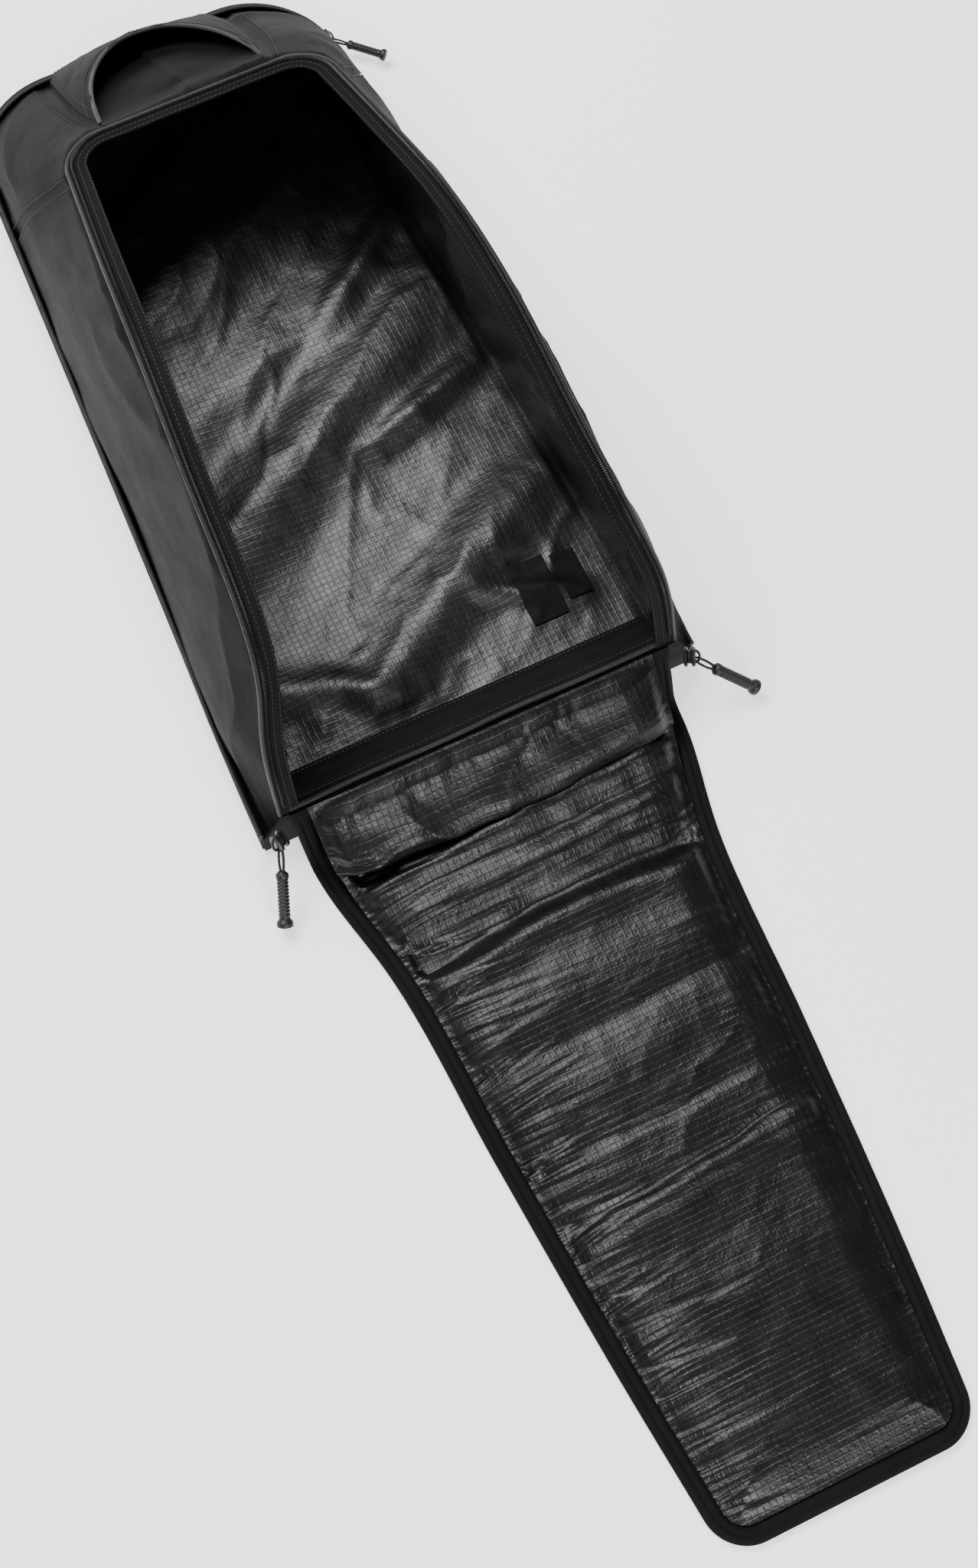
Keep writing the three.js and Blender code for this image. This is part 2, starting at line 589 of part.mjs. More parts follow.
// A moulded tubular pull: slim where the loop enters it, flared at its free end.
const PULL_NECK = 0.7;                        // share of the pull's radius
const NECK_END = 0.08;                        // shares of the pull's length
const FLARE_START = 0.84;
const FLARE_FULL = 0.92;
function pullGeometry(radius, flare, length) {
  const profile = [
    new THREE.Vector2(0, 0),
    new THREE.Vector2(radius * PULL_NECK, 0),
    new THREE.Vector2(radius, length * NECK_END),
    new THREE.Vector2(radius, length * FLARE_START),
    new THREE.Vector2(flare, length * FLARE_FULL),
    new THREE.Vector2(flare, length),
    new THREE.Vector2(0, length),
  ];
  return new THREE.LatheGeometry(profile, 12);
}

function placeAlong(mesh, origin, direction) {
  mesh.quaternion.setFromUnitVectors(new THREE.Vector3(0, 1, 0), direction);
  mesh.position.copy(origin);
}

// parked is the slider's centre, travel the way it slides, hang the way its pull points.
function zipSlider(name, parked, travel, face, hang, scale) {
  const slider = add(`${name}_slider`, 'slider', sliderGeometry());
  const side = new THREE.Vector3().crossVectors(travel, face).normalize();
  const basis = new THREE.Matrix4().makeBasis(side, travel, face.clone());
  slider.quaternion.setFromRotationMatrix(basis);
  slider.position.copy(parked);
  slider.scale.setScalar(scale);
  const eye = parked.clone().addScaledVector(hang, SLIDER_SIZE.z * 0.5 * scale + EYE_OFFSET);
  const loop = add(`${name}_pull_loop`, 'pull',
    new THREE.CylinderGeometry(LOOP_RADIUS * scale, LOOP_RADIUS * scale, LOOP_LENGTH * scale, 8));
  placeAlong(loop, eye.clone().addScaledVector(hang, LOOP_LENGTH * 0.5 * scale), hang);
  const pull = add(`${name}_pull`, 'pull',
    pullGeometry(PULL_RADIUS * scale, PULL_FLARE_RADIUS * scale, PULL_LENGTH * scale));
  placeAlong(pull, eye.clone().addScaledVector(hang, LOOP_LENGTH * scale + GAP), hang);
}

const direction = (x, y, z) => new THREE.Vector3(x, y, z).normalize();

// A main slider parks low at the hinge corner and slides up beside the rim.
const SLIDER_OUT = 8;
const SLIDER_FORWARD = 12;
const SLIDER_DROP = 11;
const TRAVEL_TOWARDS = 0.1;                   // the place on the rim, as q, that it slides towards
const TRAVEL_OUT = 12;
const LEFT_HANG = direction(-0.3, -0.775, -0.555);
const RIGHT_HANG = direction(0.67, -0.49, -0.56);
const SLIDER_FACING = { outwards: 0.5, forwards: 0.87 };

function mainSlider(name, sign, hang) {
  const corner = new THREE.Vector3(sign * halfWidth(0), FOOT, HINGE_HEIGHT);
  const parked = corner.add(new THREE.Vector3(sign * SLIDER_OUT, -SLIDER_FORWARD, -SLIDER_DROP));
  const upper = rimPoint(TRAVEL_TOWARDS).setX(sign * (halfWidth(TRAVEL_TOWARDS) + TRAVEL_OUT));
  const travel = upper.sub(parked).normalize();
  const outwards = direction(sign * SLIDER_FACING.outwards, -SLIDER_FACING.forwards, 0);
  const face = outwards.addScaledVector(travel, -outwards.dot(travel)).normalize();
  zipSlider(name, parked, travel, face, hang, 1);
}
mainSlider('left', -1, LEFT_HANG);
mainSlider('right', 1, RIGHT_HANG);

// The rear slider is parked just past the right-hand corner of the head.
const REAR_SLIDER_SCALE = 0.8;
const REAR_PARK_AT = 3.85;
const REAR_SLIDER_OUT = 8;
const REAR_HANG = direction(0.72, -0.69, -0.02);
const REAR_TRAVEL_FROM = 4.1;                 // the straight of the right side, as q
const REAR_TRAVEL_TO = 4.9;
const rearPark = backPoint(REAR_PARK_AT, -REAR_SLIDER_OUT, (REAR_COIL_LOW + REAR_COIL_HIGH) / 2);
const rearTravel = backPoint(REAR_TRAVEL_TO).sub(backPoint(REAR_TRAVEL_FROM)).normalize();
const rearFace = direction(-rearTravel.y, rearTravel.x, 0);
zipSlider('rear', rearPark, rearTravel, rearFace, REAR_HANG, REAR_SLIDER_SCALE);

export default bag;
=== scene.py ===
"""The looks of a padded ski boot bag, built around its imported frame. Metres, +Z up, the bag
lying on its back with its flap folded out towards -Y."""
import json
import math

import bpy
import numpy as np
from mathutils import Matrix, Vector


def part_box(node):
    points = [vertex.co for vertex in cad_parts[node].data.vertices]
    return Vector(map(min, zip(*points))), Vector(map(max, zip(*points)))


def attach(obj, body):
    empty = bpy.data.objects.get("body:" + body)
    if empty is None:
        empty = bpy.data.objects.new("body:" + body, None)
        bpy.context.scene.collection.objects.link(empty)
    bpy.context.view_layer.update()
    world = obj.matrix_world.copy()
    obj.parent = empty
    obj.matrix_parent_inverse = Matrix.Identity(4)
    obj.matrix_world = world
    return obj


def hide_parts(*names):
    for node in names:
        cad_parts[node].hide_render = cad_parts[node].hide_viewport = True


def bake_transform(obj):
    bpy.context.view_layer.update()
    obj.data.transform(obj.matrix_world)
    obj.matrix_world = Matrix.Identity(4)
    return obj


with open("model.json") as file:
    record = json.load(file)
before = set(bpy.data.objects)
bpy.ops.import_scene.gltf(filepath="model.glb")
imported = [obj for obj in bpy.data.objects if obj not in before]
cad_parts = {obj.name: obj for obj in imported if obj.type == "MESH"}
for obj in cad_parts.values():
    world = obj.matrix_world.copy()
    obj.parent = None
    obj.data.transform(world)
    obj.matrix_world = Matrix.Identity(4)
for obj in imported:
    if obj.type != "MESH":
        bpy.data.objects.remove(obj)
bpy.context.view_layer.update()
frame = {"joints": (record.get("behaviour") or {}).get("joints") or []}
JOINTS = {joint["name"]: joint for joint in frame["joints"]}
MM = 0.001

# ------------------------------------------------------------------ camera
CAMERA_PLACE = Vector((-0.237, -0.810, 1.538))
CAMERA_LOOK = Vector((0.143, 0.299, -0.943))
CAMERA_LENS = 56.25
SENSOR_HEIGHT = 36


def make_camera():
    data = bpy.data.cameras.new("camera")
    data.sensor_fit = "VERTICAL"
    data.sensor_height = SENSOR_HEIGHT
    data.lens = CAMERA_LENS
    data.clip_start = 0.05
    camera = bpy.data.objects.new("camera", data)
    camera.location = CAMERA_PLACE
    camera.rotation_mode = "QUATERNION"
    camera.rotation_quaternion = CAMERA_LOOK.to_track_quat("-Z", "Y")
    bpy.context.scene.collection.objects.link(camera)
    bpy.context.scene.camera = camera


make_camera()

# ------------------------------------------------------------------ driving dimensions
BACK_LOW, BACK_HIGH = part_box("back_panel")
FOOT = BACK_LOW.y
HEAD = BACK_HIGH.y
BACK_HALF_FOOT = BACK_HIGH.x
BACK_HALF_HEAD = 130 * MM
BACK_CORNER = 62 * MM
BAND_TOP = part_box("rear_zip_tape")[1].z
WALL_START = BAND_TOP + 2 * MM

HINGE_HEIGHT = 52 * MM
PANEL_RUNS = np.array([52, 88, 200, 218]) * MM
CLOSED_ANGLES = np.radians([77, 66, 16, -20])
BEND_REACH = np.array([20, 34, 70]) * MM
RIM_CORNER = 30 * MM
WIDTH_AT = np.array([0, 0.12, 0.25, 0.5, 0.75, 1])
HALF_WIDTHS = np.array([140, 137, 123, 114, 104, 91]) * MM
SIDE_BULGE = 7 * MM
BULGE_FADE = 1 / 6        # the bulge dies out over this share of a side at the foot
TAPE_WIDTH = 12 * MM
FLAP_INSET = 4 * MM
FLAP_BORDER = 12 * MM
FLAP_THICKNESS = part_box("flap_front_liner")[1].z


# ------------------------------------------------------------------ small number helpers
def lerp(a, b, f):
    return a + (b - a) * f


def smooth(f):
    f = np.clip(f, 0, 1)
    return f * f * (3 - 2 * f)


def bell(distance, width):
    return np.exp(-(distance / width) ** 2)


def points(*coordinates):
    """One array of points (or uv pairs) from coordinates that broadcast against each other."""
    return np.stack(np.broadcast_arrays(*coordinates), -1)


def unit_grid(nu, nv, low=0.0):
    """u from low to 1 down the rows and v from 0 to 1 along the columns."""
    u = np.linspace(low, 1, nu)[:, None] * np.ones((1, nv))
    v = np.linspace(0, 1, nv)[None, :] * np.ones((nu, 1))
    return u, v


def noise(u, v, seed):
    """Smooth value noise from -1 to 1, one random value per unit cell."""
    size = 64
    table = np.random.default_rng(seed).uniform(-1, 1, (size, size))
    i, j = np.floor(u).astype(int), np.floor(v).astype(int)
    fu, fv = smooth(u - i), smooth(v - j)
    at = lambda a, b: table[(i + a) % size, (j + b) % size]
    return lerp(lerp(at(0, 0), at(1, 0), fu), lerp(at(0, 1), at(1, 1), fu), fv)


def cloudy(u, v, seed, octaves=3):
    """Noise summed over octaves, about -1 to 1."""
    total = 0
    for k in range(octaves):
        total = total + noise(u * 2 ** k + 7.3 * k, v * 2 ** k, seed + k) / 2 ** k
    return total / 1.6


def creases(u, v, seed, sharpness=3):
    """Sharp-ridged noise from 0 to 1, like folds in stiff cloth."""
    return (1 - np.abs(cloudy(u, v, seed, 2))) ** sharpness


# ------------------------------------------------------------------ the bag's surfaces
BEND_STEPS = 14
RIM_SAMPLES = 500


def rim_profile():
    """The rim seen from the side: arc length, y and z, finely sampled."""
    corners = [np.array([FOOT, HINGE_HEIGHT])]
    for run, angle in zip(PANEL_RUNS, CLOSED_ANGLES):
        corners.append(corners[-1] + run * np.array([math.cos(angle), math.sin(angle)]))
    path = [corners[0]]
    for i, reach in enumerate(BEND_REACH, start=1):
        back = corners[i - 1] - corners[i]
        on = corners[i + 1] - corners[i]
        before = corners[i] + back * reach / np.linalg.norm(back)
        after = corners[i] + on * reach / np.linalg.norm(on)
        for f in np.linspace(0, 1, BEND_STEPS):
            path.append((1 - f) ** 2 * before + 2 * f * (1 - f) * corners[i] + f * f * after)
    path.append(corners[-1])
    path = np.array(path)
    lengths = np.concatenate([[0], np.cumsum(np.linalg.norm(np.diff(path, axis=0), axis=1))])
    s = np.linspace(0, lengths[-1], RIM_SAMPLES)
    return s, np.interp(s, lengths, path[:, 0]), np.interp(s, lengths, path[:, 1])


def soft_slope(values):
    """Slope along the rim, as a running mean over SLOPE_REACH samples to each side."""
    span = 2 * SLOPE_REACH + 1
    padded = np.pad(np.gradient(values, RIM_S), SLOPE_REACH, mode="edge")
    return np.convolve(padded, np.ones(span) / span, "valid")


RIM_S, RIM_Y, RIM_Z = rim_profile()
RIM_LENGTH = RIM_S[-1]
SLOPE_REACH = 6
RIM_TY, RIM_TZ = soft_slope(RIM_Y), soft_slope(RIM_Z)


def half_width(t):
    """Half width of the opening and the flap, t = 0 at the hinge and 1 at the far end."""
    t = np.clip(t, 0, 1)
    k = np.clip(np.searchsorted(WIDTH_AT, t, side="right") - 1, 0, len(WIDTH_AT) - 2)
    slopes = np.gradient(HALF_WIDTHS, WIDTH_AT)
    span = WIDTH_AT[k + 1] - WIDTH_AT[k]
    f = (t - WIDTH_AT[k]) / span
    rise = lerp(HALF_WIDTHS[k], HALF_WIDTHS[k + 1], f * f * (3 - 2 * f))
    return rise + f * (1 - f) ** 2 * span * slopes[k] + f * f * (f - 1) * span * slopes[k + 1]


def rim_place(q, inset, length):
    """x and arc length along the rim: q 0-1 left side, 1-2 corner, 2-3 head, then mirrored."""
    q, inset = np.broadcast_arrays(np.asarray(q, float), inset)
    mirrored = q > 2.5
    m = np.where(mirrored, 5 - q, q)
    straight = length - RIM_CORNER
    radius = RIM_CORNER - inset
    angle = (np.clip(m, 1, 2) - 1) * math.pi / 2
    s = np.where(m <= 1, m * straight,
                 np.where(m <= 2, straight + radius * np.sin(angle), length - inset))
    reach = half_width(1) - RIM_CORNER
    x = np.where(m <= 1, inset - half_width(s / length),
                 np.where(m <= 2, RIM_CORNER - half_width(s / length) - radius * np.cos(angle),
                          lerp(-reach, reach, m - 2)))
    return np.where(mirrored, -x, x), s


def front(x, s, h):
    """A point over the opening's surface, h above it."""
    s = np.clip(s, 0, RIM_LENGTH)
    y, z = np.interp(s, RIM_S, RIM_Y), np.interp(s, RIM_S, RIM_Z)
    ty, tz = np.interp(s, RIM_S, RIM_TY), np.interp(s, RIM_S, RIM_TZ)
    return points(x, y - tz * h, z + ty * h)


def rim_point(q, inset=0.0, h=0.0):
    x, s = rim_place(q, inset, RIM_LENGTH)
    return front(x, s, h)


def back_half(y):
    return lerp(BACK_HALF_FOOT, BACK_HALF_HEAD, (y - FOOT) / (HEAD - FOOT))


def back_point(q, inset, z):
    """A point on the back's outline, at the same q as the rim."""
    q, inset, z = np.broadcast_arrays(np.asarray(q, float), inset, z)
    mirrored = q > 2.5
    m = np.where(mirrored, 5 - q, q)
    straight_end = HEAD - BACK_CORNER
    radius = BACK_CORNER - inset
    angle = (np.clip(m, 1, 2) - 1) * math.pi / 2
    y = np.where(m <= 1, lerp(FOOT, straight_end, m),
                 np.where(m <= 2, straight_end + radius * np.sin(angle), HEAD - inset))
    reach = BACK_HALF_HEAD - BACK_CORNER
    x = np.where(m <= 1, inset - back_half(y),
                 np.where(m <= 2, BACK_CORNER - back_half(y) - radius * np.cos(angle),
                          lerp(-reach, reach, m - 2)))
    return points(np.where(mirrored, -x, x), y, z)


def wall_base(q, v):
    """The wall's face: straight from the back's outline to the rim, then bulged outwards."""
    low, high = back_point(q, 0.0, WALL_START), rim_point(q)
    point = lerp(low, high, v[..., None])
    out = point - points(0, np.minimum(point[..., 1], HEAD - 2 * BACK_CORNER), 0)
    out[..., 2] = 0
    out /= np.linalg.norm(out, axis=-1, keepdims=True)
    ends = np.minimum(1, np.minimum(q, 5 - q) / BULGE_FADE)
    return point + out * (SIDE_BULGE * np.sin(math.pi * v) * ends)[..., None]


def wall(q, v, depth):
    """A point on the wall between the back's outline and the rim, depth inside its face."""
    step = 0.01
    cq, cv = np.clip(q, step, 5 - step), np.clip(v, step, 1 - step)
    along = wall_base(cq + step, cv) - wall_base(cq - step, cv)
    up = wall_base(cq, cv + step) - wall_base(cq, cv - step)
    normal = np.cross(up, along)
    normal /= np.linalg.norm(normal, axis=-1, keepdims=True)
    return wall_base(q, v) - normal * np.asarray(depth)[..., None]


WALL_RUNS = (0, 0.53, 0.59, 0.67)      # metres along the wall at q = 0, 1, 2 and 2.5
WALL_TALL = 0.19


def wall_metric(q, v):
    """Rough distances in metres along the wall and up it, for patterns and folds."""
    along = np.interp(np.minimum(q, 5 - q), [0, 1, 2, 2.5], WALL_RUNS)
    along = np.where(q > 2.5, 2 * WALL_RUNS[-1] - along, along)
    return along, v * WALL_TALL


# ------------------------------------------------------------------ mesh builders
def new_piece(name, verts, faces, material, uv=None, wear=None, sharp=50):
    mesh = bpy.data.meshes.new(name)
    mesh.from_pydata(np.asarray(verts, float).reshape(-1, 3).tolist(), [], faces)
    mesh.polygons.foreach_set("use_smooth", [True] * len(mesh.polygons))
    if sharp:
        mesh.set_sharp_from_angle(angle=math.radians(sharp))
    loops = np.empty(len(mesh.loops), int)
    mesh.loops.foreach_get("vertex_index", loops)
    if uv is not None:
        layer = mesh.uv_layers.new(name="cloth")
        layer.data.foreach_set("uv", np.asarray(uv, float).reshape(-1, 2)[loops].ravel())
    if wear is not None:
        attribute = mesh.attributes.new("wear", "FLOAT", "POINT")
        attribute.data.foreach_set("value", np.asarray(wear, float).ravel())
    mesh.materials.append(material)
    piece = bpy.data.objects.new(name, mesh)
    bpy.context.scene.collection.objects.link(piece)
    return piece


def grid_faces(nu, nv, start=0, flip=False, closed=False):
    """Quads of a grid with nu by nv points; closed joins its last row to its first."""
    rows = np.arange(nu if closed else nu - 1)
    i, j = np.meshgrid(rows, np.arange(nv - 1), indexing="ij")
    after = (i + 1) % nu
    quads = np.stack([i * nv + j, after * nv + j, after * nv + j + 1, i * nv + j + 1], -1)
    quads = quads.reshape(-1, 4) + start
    return (quads[:, ::-1] if flip else quads).tolist()


def sheet(name, outer, inner, uv, material, wear=None, sharp=50):
    """A closed sheet of cloth between two grids of points of the same shape."""
    nu, nv = outer.shape[:2]
    count = nu * nv
    faces = grid_faces(nu, nv) + grid_faces(nu, nv, count, flip=True)
    edge = [i * nv for i in range(nu)] + [(nu - 1) * nv + j for j in range(1, nv)]
    edge += [i * nv + nv - 1 for i in range(nu - 2, -1, -1)] + list(range(nv - 2, 0, -1))
    for a, b in zip(edge, edge[1:] + edge[:1]):
        faces.append([b, a, a + count, b + count])
    if volume(np.concatenate([outer.reshape(-1, 3), inner.reshape(-1, 3)]), faces) < 0:
        faces = [face[::-1] for face in faces]
    both = lambda a: None if a is None else np.concatenate([a.reshape(count, -1)] * 2)
    verts = np.concatenate([outer.reshape(-1, 3), inner.reshape(-1, 3)])
    return new_piece(name, verts, faces, material, both(uv), both(wear), sharp)


def volume(verts, faces):
    f = np.array(faces)
    a, b, c, d = (verts[f[:, k]] for k in range(4))
    return np.sum(np.cross(b, c) * a) + np.sum(np.cross(c, d) * a)


def path_frames(path):
    """Tangents and two steady cross directions along a path."""
    tangent = np.gradient(path, axis=0)
    tangent /= np.linalg.norm(tangent, axis=1, keepdims=True)
    side = np.cross(tangent[0], [0.3, 0.2, 1.0])
    sides = []
    for t in tangent:
        side = side - t * np.dot(side, t)
        side /= np.linalg.norm(side)
        sides.append(side)
    sides = np.array(sides)
    return tangent, sides, np.cross(tangent, sides)


def ring_faces(rings, sides):
    """Quads between rings of vertices, and a cap at each end."""
    faces = []
    for i in range(rings - 1):
        for k in range(sides):
            n = (k + 1) % sides
            faces.append([i * sides + k, i * sides + n, (i + 1) * sides + n, (i + 1) * sides + k])
    faces.append(list(range(sides))[::-1])
    faces.append([(rings - 1) * sides + k for k in range(sides)])
    return faces


def tube_mesh(path, radius, sides=8):
    """Vertices and faces of a capped tube along a path; radius may vary."""
    _, side, up = path_frames(path)
    radius = np.broadcast_to(radius, len(path))
    angle = np.linspace(0, 2 * math.pi, sides, endpoint=False)
    ring = side[:, None] * np.cos(angle)[None, :, None] + up[:, None] * np.sin(angle)[None, :, None]
    verts = (path[:, None] + ring * radius[:, None, None]).reshape(-1, 3)
    return verts, ring_faces(len(path), sides)


def tube(name, path, radius, material, sides=8):
    verts, faces = tube_mesh(np.asarray(path, float), radius, sides)
    return new_piece(name, verts, faces, material)


def joined(name, parts, material):
    """One piece from several (vertices, faces) parts."""
    verts, faces, start = [], [], 0
    for part_verts, part_faces in parts:
        verts.append(part_verts)
        faces += [[index + start for index in face] for face in part_faces]
        start += len(part_verts)
    return new_piece(name, np.concatenate(verts), faces, material)


def evenly(path, pitch):
    """Places every pitch metres along a path, with their tangents."""
    lengths = np.concatenate([[0], np.cumsum(np.linalg.norm(np.diff(path, axis=0), axis=1))])
    at = np.arange(pitch / 2, lengths[-1], pitch)
    places = np.stack([np.interp(at, lengths, path[:, k]) for k in range(3)], -1)
    return places, path_frames(places)[0]


def along_path(directions, path, count):
    """The directions given at a path's own points, spread over count places along it."""
    directions = np.broadcast_to(directions, path.shape)
    stations = np.linspace(0, 1, len(path))
    return np.stack([np.interp(np.arange(count) / count, stations, directions[:, k]) for k in range(3)], -1)


def stitches(path, normal, pitch=3.2 * MM, length=2.3 * MM, radius=0.32 * MM):
    """Parts for a row of thread stitches lying along a path, humped away from the cloth."""
    places, tangents = evenly(path, pitch)
    normals = along_path(normal, path, len(places))
    parts = []
    for p, t, n in zip(places, tangents, normals):
        f = np.linspace(-0.5, 0.5, 5)
        line = p + t * (f * length)[:, None] + n * (radius * (1 - 6 * f * f))[:, None]
        parts.append(tube_mesh(line, radius * np.array([0.5, 1, 1, 1, 0.5]), 5))
    return parts


def coil_teeth(path, up_hint, pitch=1.5 * MM, reach=1.5 * MM, wire=0.42 * MM):
    """Parts for a zip coil: one bent loop of wire per pitch along a path."""
    places, tangents = evenly(path, pitch)
    parts = []
    angle = np.linspace(-1.9, 1.9, 7)
    for p, t, up in zip(places, tangents, along_path(up_hint, path, len(places))):
        up = up - t * np.dot(up, t)
        up /= np.linalg.norm(up)
        across = np.cross(t, up)
        line = p + across * (np.cos(angle) * reach)[:, None] + up * (np.sin(angle) * reach * 0.62)[:, None]
        parts.append(tube_mesh(line + t * (angle * 0.12 * MM)[:, None], wire, 5))
    return parts


# ------------------------------------------------------------------ materials
def material_base(name, color, roughness, shine=0.5):
    material = bpy.data.materials.new(name)
    material.use_nodes = True
    nodes, links = material.node_tree.nodes, material.node_tree.links
    shader = nodes["Principled BSDF"]
    shader.inputs["Base Color"].default_value = (*color, 1)
    shader.inputs["Roughness"].default_value = roughness
    shader.inputs["Specular IOR Level"].default_value = shine
    return material, nodes, links, shader


def add_node(nodes, kind, **inputs):
    node = nodes.new(kind)
    for key, value in inputs.items():
        node.inputs[key.replace("_", " ")].default_value = value
    return node


def clouds(nodes, links, source, kind="FBM", **inputs):
    """A noise texture over the cloth; gives the socket of its height."""
    node = add_node(nodes, "ShaderNodeTexNoise", **inputs)
    node.noise_type = kind
    links.new(source, node.inputs["Vector"])
    return node.outputs["Fac"]


def mottled(nodes, links, source, dark, light, scale, target):
    """Runs a colour between two values with noise."""
    ramp = nodes.new("ShaderNodeValToRGB")
    ramp.color_ramp.elements[0].position = 0.32
    ramp.color_ramp.elements[1].position = 0.7
    ramp.color_ramp.elements[0].color = (*dark, 1)
    ramp.color_ramp.elements[1].color = (*light, 1)
    height = clouds(nodes, links, source, Scale=scale, Detail=4.0, Roughness=0.6)
    links.new(height, ramp.inputs["Fac"])
    links.new(ramp.outputs["Color"], target)
    return ramp


def varied_roughness(nodes, links, source, low, high, scale, shader):
    spread = nodes.new("ShaderNodeMapRange")
    spread.inputs["To Min"].default_value = low
    spread.inputs["To Max"].default_value = high
    links.new(clouds(nodes, links, source, Scale=scale, Detail=3.0), spread.inputs["Value"])
    links.new(spread.outputs["Result"], shader.inputs["Roughness"])


def bump_chain(nodes, links, shader, layers):
    """Stacks bump nodes: each layer is (height socket, distance in metres, strength)."""
    last = None
    for height, distance, strength in layers:
        bump = nodes.new("ShaderNodeBump")
        bump.inputs["Distance"].default_value = distance
        bump.inputs["Strength"].default_value = strength
        links.new(height, bump.inputs["Height"])
        if last is not None:
            links.new(last, bump.inputs["Normal"])
        last = bump.outputs["Normal"]
    links.new(last, shader.inputs["Normal"])


ONE_BAND_A_METRE = 0.3142     # the scale of a wave texture whose bands are a metre apart


def yarns(nodes, links, source, pitch, direction, distortion=0.4, detail=1.0):
    """Height of one set of yarns at this pitch in metres."""
    wave = add_node(nodes, "ShaderNodeTexWave", Scale=ONE_BAND_A_METRE / pitch, Distortion=distortion,
                    Detail=detail)
    wave.bands_direction = direction
    links.new(source, wave.inputs["Vector"])
    return wave.outputs["Fac"]


def combined(nodes, links, a, b, operation="MULTIPLY"):
    node = nodes.new("ShaderNodeMath")
    node.operation = operation
    links.new(a, node.inputs[0])
    links.new(b, node.inputs[1])
    return node.outputs["Value"]


def cloth_source(nodes, uv):
    coordinates = nodes.new("ShaderNodeTexCoord")
    return coordinates.outputs["UV" if uv else "Object"]


def woven_material(name, color, light, roughness, pitch, uv=True, shine=0.3, worn=None):
    """Coated or plain weave: mottled colour, yarn bump and fine grain."""
    material, nodes, links, shader = material_base(name, color, roughness, shine)
    source = cloth_source(nodes, uv)
    ramp = mottled(nodes, links, source, color, light, 9.0, shader.inputs["Base Color"])
    if worn is not None:
        wear = nodes.new("ShaderNodeAttribute")
        wear.attribute_name = "wear"
        mix = nodes.new("ShaderNodeMix")
        mix.data_type = "RGBA"
        patches = clouds(nodes, links, source, Scale=260.0, Detail=5.0)
        amount = combined(nodes, links, wear.outputs["Fac"], patches)
        links.new(amount, mix.inputs["Factor"])
        links.new(ramp.outputs["Color"], mix.inputs["A"])
        mix.inputs["B"].default_value = (*worn, 1)
        links.new(mix.outputs["Result"], shader.inputs["Base Color"])
    varied_roughness(nodes, links, source, roughness - 0.08, roughness + 0.08, 30.0, shader)
    weave = combined(nodes, links, yarns(nodes, links, source, pitch, "X"),
                     yarns(nodes, links, source, pitch, "Y"))
    bump_chain(nodes, links, shader, [
        (clouds(nodes, links, source, Scale=45.0, Detail=4.0), 2.0 * MM, 0.35),
        (weave, 0.3 * MM, 0.7),
        (clouds(nodes, links, source, Scale=700.0, Detail=3.0), 0.15 * MM, 0.5),
    ])
    return material


def ripstop_material(name, color, light, roughness, cell=4.4 * MM, crinkle=0.5, shine=0.62):
    """Glossy coated ripstop: a thin raised grid over crinkled film."""
    material, nodes, links, shader = material_base(name, color, roughness, shine)
    source = cloth_source(nodes, True)
    mottled(nodes, links, source, color, light, 14.0, shader.inputs["Base Color"])
    varied_roughness(nodes, links, source, roughness - 0.07, roughness + 0.14, 55.0, shader)
    lines = []
    for direction in ("X", "Y"):
        thin = nodes.new("ShaderNodeMath")
        thin.operation = "POWER"
        thin.inputs[1].default_value = 14.0
        links.new(yarns(nodes, links, source, cell, direction, 1.1, 2.0), thin.inputs[0])
        lines.append(thin.outputs["Value"])
    grid = combined(nodes, links, *lines, operation="MAXIMUM")
    crinkles = clouds(nodes, links, source, "RIDGED_MULTIFRACTAL", Scale=330.0, Detail=4.0, Roughness=0.6)
    bump_chain(nodes, links, shader, [
        (clouds(nodes, links, source, Scale=38.0, Detail=4.0), 3.2 * MM, 0.5),
        (crinkles, 0.35 * MM, crinkle),
        (grid, 0.16 * MM, 0.6),
    ])
    return material


def moulded_material(name, color, roughness, grain_scale, metallic=0.0):
    """Moulded plastic or painted metal with a fine grain and slight colour variation."""
    material, nodes, links, shader = material_base(name, color, roughness)
    shader.inputs["Metallic"].default_value = metallic
    source = cloth_source(nodes, False)
    light = tuple(min(1, c * 1.8) for c in color)
    mottled(nodes, links, source, color, light, 160.0, shader.inputs["Base Color"])
    varied_roughness(nodes, links, source, roughness - 0.06, roughness + 0.1, 220.0, shader)
    grain = clouds(nodes, links, source, Scale=grain_scale, Detail=2.0)
    bump_chain(nodes, links, shader, [(grain, 0.1 * MM, 0.4)])
    return material


SHELL = woven_material("coated shell", (0.0026, 0.0026, 0.0028), (0.0062, 0.0062, 0.0065), 0.64, 0.9 * MM,
                       shine=0.065, worn=(0.03, 0.03, 0.03))
TAPE = woven_material("woven tape", (0.0015, 0.0015, 0.0017), (0.0035, 0.0035, 0.0036), 0.75, 1.1 * MM,
                      shine=0.16)
EDGING = woven_material("edge piping", (0.003, 0.003, 0.003), (0.007, 0.007, 0.007), 0.5, 0.8 * MM,
                        uv=False, shine=0.4)
LINER = ripstop_material("ripstop liner", (0.0015, 0.0015, 0.0017), (0.004, 0.004, 0.0042), 0.40)
FLAP_LINER = ripstop_material("flap ripstop", (0.0012, 0.0012, 0.0013), (0.003, 0.003, 0.0032), 0.36,
                              crinkle=0.7, shine=0.36)
LABEL = woven_material("satin label", (0.0012, 0.0012, 0.0012), (0.002, 0.002, 0.002), 0.5, 0.5 * MM,
                       shine=0.2)
THREAD = moulded_material("thread", (0.011, 0.011, 0.011), 0.6, 900.0)
COIL = moulded_material("zip coil", (0.003, 0.003, 0.003), 0.42, 900.0)
